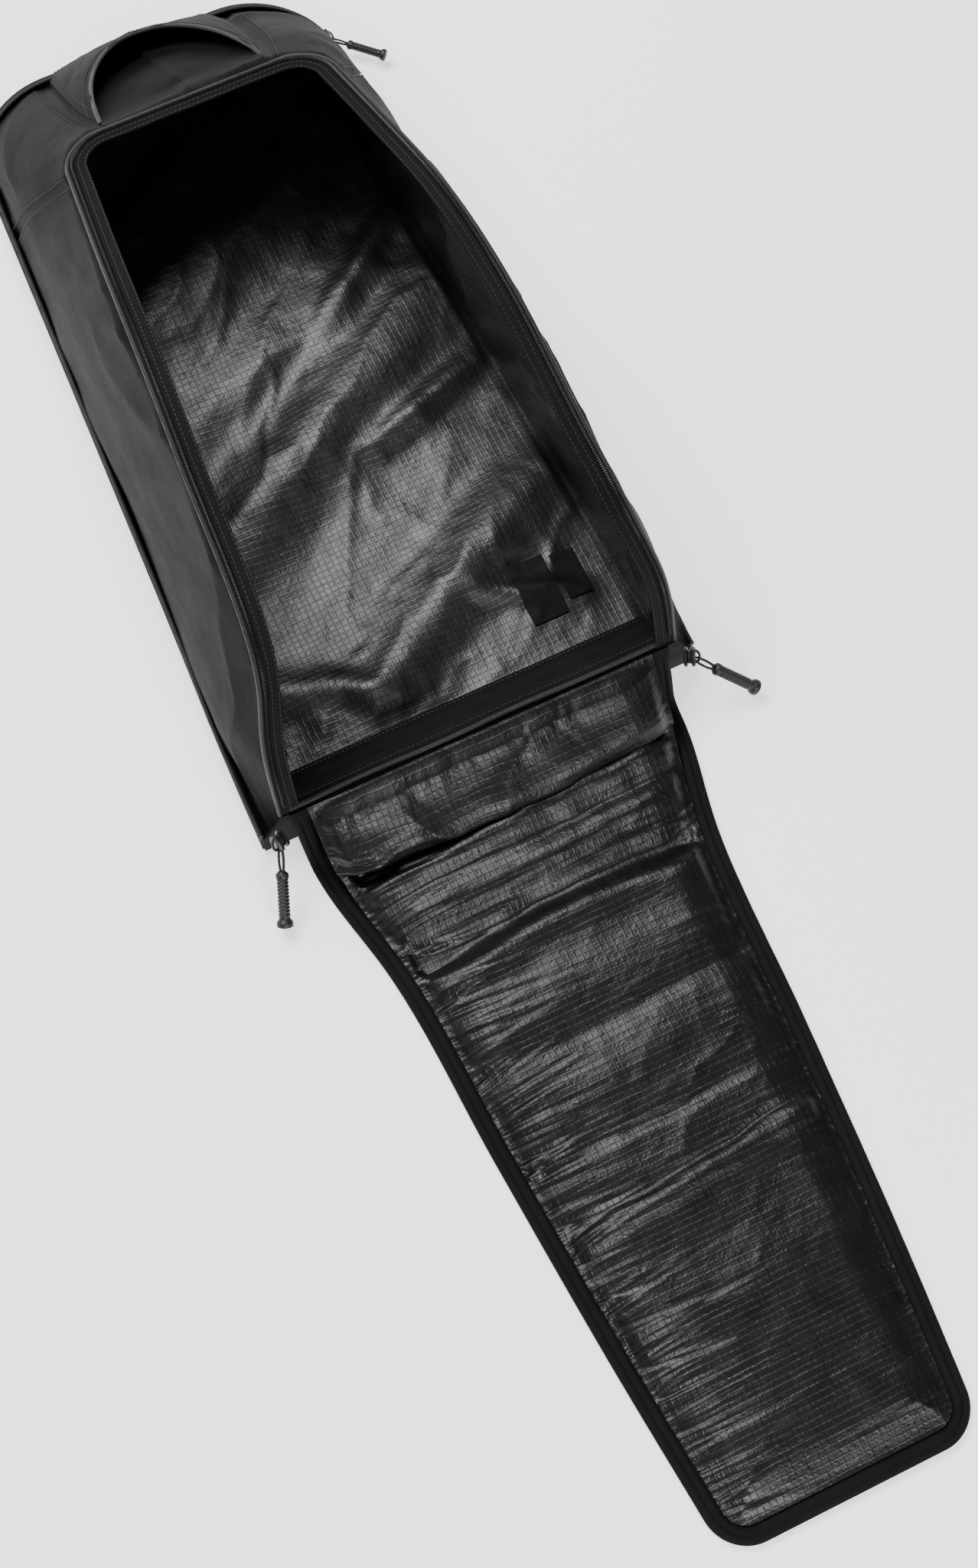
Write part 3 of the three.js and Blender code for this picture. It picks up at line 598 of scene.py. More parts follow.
SLIDER = moulded_material("slider metal", (0.012, 0.012, 0.012), 0.34, 700.0, metallic=0.5)
PULL = moulded_material("moulded pull", (0.004, 0.004, 0.004), 0.5, 1200.0)


def settle(piece, body, slot, *nodes):
    """The piece rides on a body and stands for CAD nodes, which it hides; slot is not used."""
    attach(piece, body)
    if nodes:
        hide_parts(*nodes)


def on_bag(piece, slot, *nodes):
    settle(piece, "bag", slot, *nodes)


# ------------------------------------------------------------------ shell walls
def shoulder_seam(v):
    """Where the slanted shoulder seam runs, as q."""
    return 0.9 + 0.08 * v


def wall_relief(q, v, seams):
    """How far the shell stands out: broad softness, slack folds and pinched seams."""
    along, up = wall_metric(q, v)
    side = np.where(q > 2.5, 17, 0)
    broad = 4.6 * MM * cloudy(along * 8 + side, up * 4, 11)
    diagonal = 3.4 * MM * creases(along * 5.5 + up * 6 + side, up * 5 - along * 2.5, 23, 5)
    near_rim = 1.5 * MM * creases(along * 26, up * 6 + side, 31, 4) * smooth((v - 0.7) / 0.3)
    fine = 0.5 * MM * cloudy(along * 40, up * 40, 37)
    hem = np.minimum(smooth(v / 0.06), smooth((1 - v) / 0.05))
    relief = (broad + diagonal + near_rim + fine) * hem + 0.2 * MM
    for distance in seams:
        relief -= 1.5 * MM * bell(distance, 3 * MM)
        relief += 0.8 * MM * bell(distance - 8 * MM, 5 * MM)
    return relief


def seam_distances(q, v):
    """Metres from the slanted shoulder seam and from the head panel's seam."""
    m = np.minimum(q, 5 - q)
    slanted = np.abs(m - shoulder_seam(v)) * WALL_RUNS[1]
    slanted = np.where(m > 1, slanted * 0.4 + 0.02, slanted)
    head_seam = np.abs(m - 2) * np.where(m < 2, 0.055, 0.17)
    return [slanted, head_seam]


def make_wall_panel(name, from_q, to_q, along, up, *inside):
    """A padded shell panel; inside names the foam it holds."""
    u, v = unit_grid(along, up)
    q = lerp(from_q(v), to_q(v), u)
    distances = seam_distances(q, v)
    relief = wall_relief(q, v, distances)
    outer = wall(q, v, -relief)
    inner = wall(q, v, 1.6 * MM)
    uv = points(*wall_metric(q, v))
    wear = np.maximum(bell(distances[0], 2 * MM), bell(distances[1], 2 * MM)) * 0.5
    wear = np.maximum(wear, smooth((v - 0.97) / 0.03) * 0.5)
    piece = sheet(name.replace("panel", "cloth"), outer, inner, uv, SHELL, wear)
    on_bag(piece, "coated_shell", name, *inside)


def make_walls():
    for name, flip in (("left", lambda q: q), ("right", lambda q: 5 - q)):
        make_wall_panel(f"{name}_side_panel", lambda v: flip(0 * v), lambda v: flip(shoulder_seam(v)),
                        170, 64, f"{name}_foam")
        make_wall_panel(f"{name}_shoulder_panel", lambda v: flip(shoulder_seam(v)),
                        lambda v: flip(2 + 0 * v), 60, 64)
    make_wall_panel("handle_panel", lambda v: 2 + 0 * v, lambda v: 3 + 0 * v, 70, 64, "head_foam")
    parts = []
    v = np.linspace(0.03, 0.97, 60)
    seams = [shoulder_seam(v) + offset for offset in (-0.009, 0.011)]
    seams += [2 + offset + 0 * v for offset in (-0.1, 0.03)]
    for flip in (lambda q: q, lambda q: 5 - q):
        for seam in seams:
            q = flip(seam)
            path = wall(q, v, -wall_relief(q, v, seam_distances(q, v)) - 0.1 * MM)
            parts += stitches(path, normal_at(q, v))
    on_bag(joined("shell_topstitching", parts, THREAD), "coated_shell")


def normal_at(q, v):
    """The wall's outward direction."""
    out = wall(q, v, -1 * MM) - wall(q, v, 0)
    return out / np.linalg.norm(out, axis=-1, keepdims=True)


# ------------------------------------------------------------------ lining
LINING_DEPTH = 8.6 * MM
LINING_TURN = 0.12            # share of the wall over which its lining turns over at top and bottom
LINING_INSET = 11 * MM        # on the back, inside its outline
BACK_LINING_LEVEL = 10.2 * MM
BACK_LINING_FOOT = FOOT + 9 * MM
BACK_LINING_HEAD = HEAD - 14 * MM


def lining_surface(q, v, slack):
    """The lining against the wall: it turns over under the zip tape and onto the back."""
    point = wall(q, np.clip(v, 0, 1), LINING_DEPTH + slack)
    under_tape = rim_point(q, TAPE_WIDTH - 0.6 * MM, -0.2 * MM)
    on_back = back_point(q, LINING_INSET, BACK_LINING_LEVEL + 0.4 * MM)
    top = smooth((v - 1 + LINING_TURN) / LINING_TURN)[..., None]
    bottom = smooth((LINING_TURN - v) / LINING_TURN)[..., None]
    return lerp(lerp(point, under_tape, top), on_back, bottom)


def make_side_lining(name, from_q, to_q, along, seed):
    u, v = unit_grid(along, 60)
    q = lerp(from_q, to_q, u)
    length, up = wall_metric(q, v)
    folds = 7 * MM * creases(length * 9 + up * 6, up * 7 - length * 4, seed, 4)
    fine = 1.6 * MM * creases(length * 30, up * 30, seed + 5, 3)
    slack = (folds + fine) * np.sin(math.pi * v) ** 0.7
    inner_face = lining_surface(q, v, slack)
    backing = lining_surface(q, v, slack * 0 - 0.8 * MM)
    piece = sheet(name.replace("liner", "lining"), inner_face, backing, points(length, up), LINER)
    on_bag(piece, "ripstop_liner", name)


BACK_FOLDS = (   # where a fold starts and ends on the back's lining, its width and height
    ((-0.13, -0.12), (0.12, 0.03), 0.030, 0.015),
    ((-0.14, 0.055), (0.09, 0.17), 0.045, 0.020),
    ((-0.12, -0.02), (0.07, 0.07), 0.024, 0.008),
    ((-0.07, -0.25), (0.13, -0.13), 0.024, 0.013),
    ((-0.12, 0.13), (0.06, 0.22), 0.026, 0.010),
    ((-0.12, -0.20), (-0.03, -0.245), 0.014, 0.008),
    ((0.03, -0.07), (0.12, -0.035), 0.011, 0.008),
    ((0.05, 0.04), (0.12, 0.10), 0.011, 0.007),
    ((0.04, -0.205), (0.10, -0.235), 0.009, 0.006),
)


def segment_distance(x, y, start, end):
    """Distance to a segment and how far along it, 0 to 1."""
    (ax, ay), (bx, by) = start, end
    length_squared = (bx - ax) ** 2 + (by - ay) ** 2
    f = np.clip(((x - ax) * (bx - ax) + (y - ay) * (by - ay)) / length_squared, 0, 1)
    return np.hypot(x - lerp(ax, bx, f), y - lerp(ay, by, f)), f


def back_height(x, y):
    """How far the lining of the back rises over its padding at x, y."""
    bend = 0.016 * cloudy(x * 9, y * 9, 51)
    height = 0 * x
    for start, end, width, tall in BACK_FOLDS:
        distance, f = segment_distance(x + bend, y + 0.7 * bend, start, end)
        ends = np.sin(math.pi * np.clip(0.1 + 0.8 * f, 0, 1)) ** 0.6
        height = height + tall * ends * bell(distance, width)
    height += 2.2 * MM * creases(x * 12 - y * 7, y * 10, 61, 4)
    height += 1.3 * MM * creases(x * 24 - y * 14, y * 20, 67, 5)
    height += 0.5 * MM * cloudy(x * 75, y * 75, 71)
    return np.clip(height, 0, 24 * MM)


def corner_cut(y, start):
    """How much narrower the back is at y, its corners being rounded from start on."""
    past = np.clip(y - start, 0, None)
    return BACK_CORNER - np.sqrt(np.clip(BACK_CORNER ** 2 - past ** 2, 0, None))


def make_back_lining():
    u, v = unit_grid(230, 120)
    y = lerp(BACK_LINING_FOOT, BACK_LINING_HEAD, u)
    across = 2 * v - 1
    x = across * (back_half(y) - LINING_INSET - corner_cut(y, HEAD - BACK_CORNER - 10 * MM))
    edge = smooth((1 - np.abs(across)) / 0.06) * smooth((y - BACK_LINING_FOOT) / 0.02)
    edge *= smooth((BACK_LINING_HEAD - y) / 0.02)
    top = points(x, y, BACK_LINING_LEVEL + back_height(x, y) * edge)
    bottom = points(x, y, BACK_LINING_LEVEL - 0.7 * MM)
    piece = sheet("back_lining", top, bottom, points(x, y), LINER)
    on_bag(piece, "ripstop_liner", "back_liner")


def make_foot_lining():
    u, v = unit_grid(90, 26, -1)
    low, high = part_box("hinge_band")
    reach = lerp(back_half(FOOT) - 12 * MM, high.x + 4 * MM, v)
    fold = 3 * MM * creases(u * 6, v * 2, 83, 3) * np.sin(math.pi * v)
    y = lerp(FOOT + 8 * MM, high.y, smooth(v)) + fold
    z = lerp(10.4 * MM, low.z + 1 * MM, v)
    face = points(u * reach, y, z)
    backing = face - np.array([0, 0.8, 0.4]) * MM
    piece = sheet("foot_lining", face, backing, points(u * 0.14, v * 0.05), LINER)
    on_bag(piece, "ripstop_liner", "base_liner")


def make_linings():
    make_side_lining("left_liner", 0.004, 1.5, 170, 101)
    make_side_lining("right_liner", 4.996, 3.5, 170, 111)
    make_side_lining("head_liner", 1.5, 3.5, 120, 121)
    make_back_lining()
    make_foot_lining()


# ------------------------------------------------------------------ rim zip and piping
def rim_q(count, trim=0.0):
    """Stations along the rim, close round its corners."""
    side = np.linspace(trim, 1, count, endpoint=False)
    corner = np.linspace(1, 2, 16, endpoint=False)
    head = np.linspace(2, 2.5, 14, endpoint=False)
    half = np.concatenate([side, corner, head])
    return np.concatenate([half, [2.5], 5 - half[::-1]])


def make_rim():
    q = rim_q(150)[:, None]
    inset = np.linspace(-1.2 * MM, TAPE_WIDTH, 9)[None, :]
    length = wall_metric(q, 0 * q)[0]
    sway = 0.2 * MM * np.sin(length * 90) * (inset / TAPE_WIDTH)
    ridge = 0.3 * MM * bell(inset - 9.5 * MM, 1.2 * MM)
    top = rim_point(q, inset, 1.1 * MM + ridge + sway)
    under = rim_point(q, inset, 0.3 * MM + sway)
    uv = points(length, inset)
    on_bag(sheet("rim_zip_tape", top, under, uv, TAPE), "binding_tape", "zip_tape")
    stations = rim_q(200, 0.02)
    line = rim_point(stations, 1.6 * MM, 1.9 * MM)
    up = rim_point(stations, 1.6 * MM, 4 * MM) - line
    up /= np.linalg.norm(up, axis=-1, keepdims=True)
    on_bag(joined("rim_zip_coil", coil_teeth(line, up), COIL), "zip_coil", "zip_coil")
    piping = tube("rim_piping", rim_point(rim_q(150), -1.4 * MM, 0.4 * MM), 1.7 * MM, EDGING)
    on_bag(piping, "binding_tape")
    stations = rim_q(150)
    parts = []
    for inset, height in ((6.2 * MM, 1.15 * MM), (11 * MM, 1.1 * MM)):
        parts += stitches(rim_point(stations, inset, height), up_of(stations))
    on_bag(joined("rim_stitching", parts, THREAD), "binding_tape")


def up_of(q):
    """The direction out of the opening at the rim."""
    up = rim_point(q, 0.0, 1 * MM) - rim_point(q)
    return up / np.linalg.norm(up, axis=-1, keepdims=True)


def make_rear_band():
    q = rim_q(150)[:, None]
    v = np.linspace(0, 1, 14)[None, :]
    z = lerp(2.2 * MM, BAND_TOP + 0.6 * MM, v)
    along = wall_metric(q, 0 * q)[0]
    swell = -0.9 * MM * np.sin(math.pi * v) - 0.3 * MM * cloudy(along * 30, v * 3, 131)
    outer = back_point(q, swell, z)
    inner = back_point(q, 1.6 * MM, z)
    uv = points(along, z)
    on_bag(sheet("rear_band", outer, inner, uv, TAPE), "binding_tape", "rear_zip_tape")
    stations = rim_q(200)
    line = back_point(stations, -1.6 * MM, 11 * MM)
    out = line - back_point(stations, 2 * MM, 11 * MM)
    out /= np.linalg.norm(out, axis=-1, keepdims=True)
    on_bag(joined("rear_coil", coil_teeth(line, out), COIL), "zip_coil", "rear_zip_coil")
    v = np.linspace(0.0, 0.105, 9)[None, :]
    relief = wall_relief(q, v, []) * 0.2 + 1.2 * MM
    over = wall(q, v, -relief - 1.5 * MM)
    beneath = wall(q, v, -relief)
    uv = points(along, v * WALL_TALL)
    on_bag(sheet("rear_upper_tape", over, beneath, uv, TAPE), "binding_tape")
    for name, level in (("rear_upper_piping", 0.108), ("rear_upper_cord", 0.052)):
        path = wall(stations, level + 0 * stations, -2.9 * MM)
        on_bag(tube(name, path, 1.5 * MM, EDGING), "binding_tape")
    for name, height in (("rear_piping_upper", BAND_TOP + 1 * MM), ("rear_piping_lower", 2.4 * MM)):
        piping = tube(name, back_point(stations, -0.6 * MM, height), 1.7 * MM, EDGING)
        on_bag(piping, "binding_tape")
    parts = []
    for height in (6.5 * MM, 15.5 * MM):
        parts += stitches(back_point(stations, -1.3 * MM, height), out)
    on_bag(joined("rear_band_stitching", parts, THREAD), "binding_tape")


# ------------------------------------------------------------------ foot wall, hinge and back
def make_foot_wall():
    u, v = unit_grid(120, 24, -1)
    low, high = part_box("base_panel")
    z = lerp(low.z, high.z, v)
    rise = np.clip((z - BAND_TOP) / (HINGE_HEIGHT - BAND_TOP), 0, 1)
    reach = lerp(back_half(FOOT), half_width(0.0), rise) + 0.8 * MM
    relief = 1.6 * MM * creases(u * 4, v * 1.6, 141, 3) * np.sin(math.pi * v)
    outer = points(u * reach, low.y - relief * 0.4, z)
    inner = points(u * reach, high.y, z)
    piece = sheet("foot_wall", outer, inner, points(u * reach, z), SHELL)
    on_bag(piece, "coated_shell", "base_panel", "base_foam")


HINGE_DROP = 9 * MM           # the hinge's facing sinks this far towards the inside


def make_hinge():
    low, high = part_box("hinge_band")
    u, v = unit_grid(90, 16, -1)
    y = lerp(low.y, high.y, v)
    sag = 1.4 * MM * cloudy(u * 5, v * 2, 151) - 0.8 * MM * bell(v - 0.5, 0.12)
    z = high.z - HINGE_DROP * v * v + 0.3 * MM + sag * np.sin(math.pi * v)
    reach = high.x + 9 * MM
    top = points(u * reach, y, z)
    piece = sheet("hinge_facing", top, top - np.array([0, 0, 1.4 * MM]), points(u * reach, y), TAPE)
    on_bag(piece, "binding_tape", "hinge_band")
    parts = []
    for f in (0.12, 0.9):
        level = high.z - HINGE_DROP * f * f + 0.5 * MM
        line = points(np.linspace(-reach, reach, 80), lerp(low.y, high.y, f), level)
        parts += stitches(line, np.array([0, 0, 1.0]))
    on_bag(joined("hinge_stitching", parts, THREAD), "binding_tape")
    low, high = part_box("hinge_welt")
    x = np.linspace(low.x - 3 * MM, high.x + 3 * MM, 90)
    middle = (low + high) / 2
    path = points(x, middle.y + 0.3 * MM * np.sin(x * 60), middle.z + 0.3 * MM * np.sin(x * 43))
    on_bag(tube("hinge_piping", path, 1.9 * MM, EDGING, 10), "binding_tape", "hinge_welt")


def make_back_panel():
    """The padded back the bag lies on, flat underneath, its corners rounded."""
    u, v = unit_grid(130, 60)
    y = lerp(FOOT, HEAD, u)
    x = (2 * v - 1) * (back_half(y) - corner_cut(y, HEAD - BACK_CORNER))
    channel = bell(np.abs(x) - 0.055, 4 * MM) * smooth((HEAD - 0.06 - y) / 0.02)
    channel = np.maximum(channel, bell(np.abs(y) - 0.16, 4 * MM) * smooth((0.12 - np.abs(x)) / 0.02))
    piece = sheet("back_pad", points(x, y, 1.1 * MM * channel), points(x, y, 2.2 * MM), points(x, y), SHELL)
    on_bag(piece, "coated_shell", "back_panel", "back_foam")


# ------------------------------------------------------------------ grab handle
HANDLE_FROM, HANDLE_TO = 2.03, 2.97
HANDLE_MIDDLE, HANDLE_ENDS = 0.34, 0.93      # its free edge, as shares of the head's height
HANDLE_LIFT = 13 * MM


def handle_surface(u, v, extra):
    """The handle's cloth: u across the head, v from its sewn root to its arched free edge."""
    arch = np.abs(2 * u - 1) ** 2.2
    free = lerp(HANDLE_MIDDLE, HANDLE_ENDS, arch)
    lift = HANDLE_LIFT * np.sin(math.pi * np.clip(u, 0, 1)) ** 0.8 * np.sqrt(np.clip(v, 0, 1))
    sewn = smooth(v / 0.15) * smooth(np.minimum(u, 1 - u) / 0.05)
    stand = 0.6 * MM + 2 * MM * sewn + lift + extra * lerp(0.5, 1, sewn)
    return wall(lerp(HANDLE_FROM, HANDLE_TO, u), lerp(0.01, free, v), -stand)


def make_handle():
    u, v = unit_grid(110, 34)
    soft = 0.9 * MM * creases(u * 7, v * 2.5, 161, 3) + 0.5 * MM * cloudy(u * 16, v * 9, 163)
    outer = handle_surface(u, v, 2.4 * MM + soft)
    inner = handle_surface(u, v, 0)
    wear = smooth((v - 0.93) / 0.07) * 0.4
    uv = points(u * 0.17, v * 0.09)
    on_bag(sheet("grab_handle", outer, inner, uv, SHELL, wear), "coated_shell", "handle")
    along = np.linspace(0, 1, 120)
    edge = handle_surface(along, 1 + 0 * along, 1.4 * MM)
    on_bag(tube("handle_piping", edge, 1.6 * MM, EDGING), "binding_tape")
    parts = []
    for level in (0.86, 0.1):
        line = handle_surface(along, level + 0 * along, 2.9 * MM)
        normal = line - handle_surface(along, level + 0 * along, 0)
        parts += stitches(line, normal / np.linalg.norm(normal, axis=-1, keepdims=True))
    for side in (0.03, 0.97):
        rise = np.linspace(0.05, 0.95, 60)
        line = handle_surface(side + 0 * rise, rise, 2.9 * MM)
        parts += stitches(line, normal_at(np.full(60, lerp(HANDLE_FROM, HANDLE_TO, side)), rise))
    on_bag(joined("handle_stitching", parts, THREAD), "coated_shell")


# ------------------------------------------------------------------ inside details
def make_label(name, curl, seed):
    low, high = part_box(name)
    u, v = unit_grid(24, 24)
    x, y = lerp(low.x, high.x, u), lerp(low.y, high.y, v)
    lift = 1.5 * MM + curl * v ** 2 + 0.8 * MM * cloudy(u * 2, v * 2, seed)
    top = points(x, y, BACK_LINING_LEVEL + back_height(x, y) + lift)
    piece = sheet(name + "_cloth", top, top - np.array([0, 0, 0.4 * MM]), points(u * 0.03, v * 0.04), LABEL)
    on_bag(piece, "woven_label", name)


POCKET_SPAN = (2.12, 2.88, 0.25, 0.75)        # q from and to, then low and high on the wall
KEY_LOOP_SPAN = (2.93, 2.9813, 0.5, 0.75)


def on_head(u, v, span, depth):
    """A point inside the head's wall, at shares u and v of a patch's span."""
    from_q, to_q, low, high = span
    return wall(lerp(from_q, to_q, u), lerp(low, high, v), depth)


def make_pocket():
    u, v = unit_grid(60, 30)
    puff = 2.5 * MM * (np.sin(math.pi * u) * np.sin(math.pi * v)) ** 0.5
    puff = puff + 1 * MM * creases(u * 4, v * 3, 171, 3)
    face = on_head(u, v, POCKET_SPAN, 13 * MM + puff)
    back = on_head(u, v, POCKET_SPAN, 11 * MM)
    piece = sheet("inside_pocket", face, back, points(u * 0.13, v * 0.1), LINER)
    on_bag(piece, "ripstop_liner", "inner_pocket")
    line = np.linspace(0.02, 0.98, 50)
    zip_line = on_head(line, 0 * line + 0.9, POCKET_SPAN, 15 * MM)
    on_bag(tube("inside_pocket_zip", zip_line, 1.3 * MM, COIL), "zip_coil")
    u, v = unit_grid(12, 12)
    strap = on_head(u, v, KEY_LOOP_SPAN, 12.5 * MM)
    strap_back = on_head(u, v, KEY_LOOP_SPAN, 11 * MM)
    piece = sheet("key_loop_webbing", strap, strap_back, points(u, v) * 0.02, TAPE)
    on_bag(piece, "binding_tape", "key_loop")
    centre = strap[6, 2] + np.array([0, -6 * MM, -3 * MM])
    angle = np.linspace(0, 2 * math.pi, 33)
    ring = centre + np.stack([np.cos(angle), 0.4 * np.sin(angle), 0.9 * np.sin(angle)], -1) * 6 * MM
    on_bag(tube("key_ring", ring, 0.9 * MM, SLIDER), "slider_metal")


# ------------------------------------------------------------------ flap
FLAP_JOINTS = ("flap_hinge", "sill_fold", "base_fold", "front_fold")
FOLDS = [Vector(JOINTS[name]["pos_m"]) for name in FLAP_JOINTS]
FLAP_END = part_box("flap_top_shell")[0].y
FOLD_AT = np.cumsum([0] + [(b - a).length for a, b in zip(FOLDS, FOLDS[1:])])
FLAP_LENGTH = FOLD_AT[-1] + (FOLDS[-1].y - FLAP_END)


def flap_path():
    """The flap's inner face at rest from the hinge: y and z by arc length, bent softly."""
    knots_y = [FOLDS[0].y, FOLDS[1].y, FLAP_END]
    knots_z = [FOLDS[0].z, FOLDS[1].z, FOLDS[1].z]
    knots_s = [0, FOLD_AT[1], FLAP_LENGTH]
    s = np.linspace(0, FLAP_LENGTH, 700)
    y, z = np.interp(s, knots_s, knots_y), np.interp(s, knots_s, knots_z)
    kernel = np.hanning(9)
    kernel /= kernel.sum()
    ends = dict(mode="reflect", reflect_type="odd")
    soften = lambda a: np.convolve(np.pad(a, 4, **ends), kernel, "valid")
    return s, soften(y), soften(z)


PATH_S, PATH_Y, PATH_Z = flap_path()
PATH_TY, PATH_TZ = np.gradient(PATH_Y, PATH_S), np.gradient(PATH_Z, PATH_S)


def flap_point(x, s, height):
    """A point over the flap's inner face at rest, height along its normal."""
    y, z = np.interp(s, PATH_S, PATH_Y), np.interp(s, PATH_S, PATH_Z)
    ty, tz = np.interp(s, PATH_S, PATH_TY), np.interp(s, PATH_S, PATH_TZ)
    return points(x, y + tz * height, z - ty * height)


def flap_half_width(s, inset):
    past = s - (FLAP_LENGTH - RIM_CORNER)
    radius = RIM_CORNER - inset
    straight = half_width(s / FLAP_LENGTH) - inset
    rounded = half_width(s / FLAP_LENGTH) - RIM_CORNER
    rounded = rounded + np.sqrt(np.clip(radius ** 2 - past ** 2, 0, None))
    return np.where(past <= 0, straight, rounded)


def pucker_field(x, s, reach):
    """Gathers running in from the flap's edges, and folds across it."""
    rng = np.random.default_rng(7)
    height = 0 * x
    for side, count, depth, longest in ((-1, 98, 1.7 * MM, 0.046), (1, 64, 0.8 * MM, 0.030)):
        places = np.linspace(0.03, FLAP_LENGTH - 0.03, count)
        places = places + rng.uniform(-0.004, 0.004, count)
        for place in places:
            length = rng.uniform(0.25, 1.0) * longest
            width = rng.uniform(1.2, 2.4) * MM
            slant = rng.uniform(-0.22, 0.16)
            deep = rng.uniform(0.5, 1.0) * depth
            from_edge = reach + side * -x
            line = place + slant * from_edge
            fade = np.exp(-from_edge / length) * smooth((from_edge + 2 * MM) / (4 * MM))
            offset = s - line
            height -= deep * fade * bell(offset, width)
            height += 0.7 * deep * fade * bell(offset - 2.2 * width, width * 1.2)
    for place in rng.uniform(-0.11, 0.11, 34):
        width = rng.uniform(1.6, 3.6) * MM
        run = rng.uniform(6, 20) * MM
        lean = rng.uniform(-0.7, 0.7)
        height -= rng.uniform(0.6, 2.2) * MM * np.exp(-s / run) * bell(x - place - lean * s, width)
    return height


CROSS_FOLDS = (   # arc length at the left and right edges, width and height; a valley is below 0
    (0.040, 0.036, 0.014, 0.0040),
    (0.074, 0.068, 0.0070, -0.0110),
    (0.088, 0.081, 0.009, 0.0055),
    (0.101, 0.093, 0.0045, -0.0022),
    (0.114, 0.108, 0.011, 0.0045),
    (0.141, 0.137, 0.0085, -0.0125),
    (0.127, 0.122, 0.004, -0.0030),
    (0.157, 0.152, 0.012, 0.0050),
    (0.205, 0.190, 0.020, 0.0030),
    (0.232, 0.222, 0.006, -0.0018),
    (0.262, 0.250, 0.018, 0.0030),
    (0.300, 0.292, 0.005, -0.0016),
    (0.338, 0.322, 0.0035, -0.0026),
    (0.349, 0.334, 0.008, 0.0032),
    (0.410, 0.395, 0.018, 0.0022),
)


def flap_top_height(x, s, reach):
    """Height of the padded lining over the flap's inner face."""
    from_edge = np.clip(reach - np.abs(x), 0, None)
    from_end = np.clip(FLAP_LENGTH - FLAP_BORDER - FLAP_INSET - s, 0, None)
    edge = np.minimum(from_edge, from_end)
    crown = 6.5 * MM * smooth(edge / 0.03) ** 0.8 + 1.5 * MM * smooth(edge / 0.09)
    tilt = 0.5 + 0.5 * x / np.maximum(reach, MM)
    folds = 0 * x
    for left, right, width, tall in CROSS_FOLDS:
        line = lerp(left, right, tilt) + 0.007 * cloudy(x * 14 + left * 50, s * 6 + left * 90, 181)
        strength = 0.85 + 0.4 * cloudy(x * 11 + left * 70, 0 * s + left * 40, 183)
        spread = width * (1 + 0.35 * cloudy(x * 17 - left * 30, s * 9, 185))
        folds += tall * strength * bell(s - line, spread) * smooth(from_edge / 0.012)
    calm = 1 - 0.6 * smooth((s - 0.36) / 0.14)
    drift = 0.012 * cloudy(x * 16, s * 16, 195)
    slack = 1.5 * MM * creases(x * 9 + s * 5 + drift * 30, (s + drift) * 13, 191, 3)
    slack = slack + 0.45 * MM * creases(x * 24 + s * 8, (s + drift) * 34, 193, 4)
    slack = slack + 0.5 * MM * cloudy(x * 40, s * 44, 197)
    slack = slack + 4 * MM * creases(x * 9 + s * 5, s * 22 - x * 11, 207, 6) * bell(s - 0.035, 0.028)
    bridge = 21 * MM * bell(s - FOLD_AT[1] + 3 * MM, 0.030)
    hinge = smooth(s / 0.012)
    height = crown + bridge + (folds + slack) * smooth(edge / 0.01) + pucker_field(x, s, reach)
    over_shell = height * calm ** 0.3 + 2.2 * MM
    held = 0.5 * (over_shell + np.hypot(over_shell, 1.2 * MM)) - 2.2 * MM
    return (held - 1.2 * MM) * hinge


def split_rows(s):
    """The flap's rows cut into lengths, each of which crosses one fold."""
    middles = [0.0] + [(a + b) / 2 for a, b in zip(FOLD_AT, FOLD_AT[1:])] + [FLAP_LENGTH + 1]
    starts = [0] + [int(np.searchsorted(s, m)) for m in middles[1:-1]] + [len(s) - 1]
    return [(starts[k], starts[k + 1]) for k in range(4)]


FLAP_ROWS = np.unique(np.concatenate([
    np.linspace(0.0015, FLAP_LENGTH - FLAP_INSET - RIM_CORNER, 470),
    FLAP_LENGTH - FLAP_INSET - RIM_CORNER * (1 - np.sin(np.linspace(0, math.pi / 2, 34))),
]))
LENGTH_NAMES = ("sill", "base", "front", "top")


def grid_normals(grid):
    """Smooth normals of a grid, so that its cut lengths shade as one cloth."""
    du, dv = np.gradient(grid, axis=0), np.gradient(grid, axis=1)
    normal = np.cross(du, dv)
    return normal / np.maximum(np.linalg.norm(normal, axis=-1, keepdims=True), 1e-12)


def folded(piece, k, slot, *nodes):
    """The piece's transform is baked into its mesh and it stands for CAD nodes, which it hides; k is not
    used.
    """
    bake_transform(piece)
    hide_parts(*nodes)
    return piece


def flap_length(name, k, top, under, uv, material, slot, nodes):
    """One length of a flap layer, cut from the rows that cross fold k."""
    start, end = split_rows(FLAP_ROWS)[k]
    rows = slice(start, end + 1)
    piece = sheet(name, top[rows], under[rows], uv[rows], material, sharp=None)
    outer, inner = grid_normals(top)[rows], grid_normals(under)[rows]
    mesh = piece.data
    facing = np.array(mesh.vertices[(end - start) // 2 * top.shape[1] + top.shape[1] // 2].normal)
    sample = outer[(end - start) // 2, top.shape[1] // 2]
    sign = 1.0 if np.dot(facing, sample) > 0 else -1.0
    normals = np.concatenate([outer.reshape(-1, 3) * sign, inner.reshape(-1, 3) * -sign])
    mesh.normals_split_custom_set_from_vertices(normals.tolist())
    return folded(piece, k, slot, *nodes)


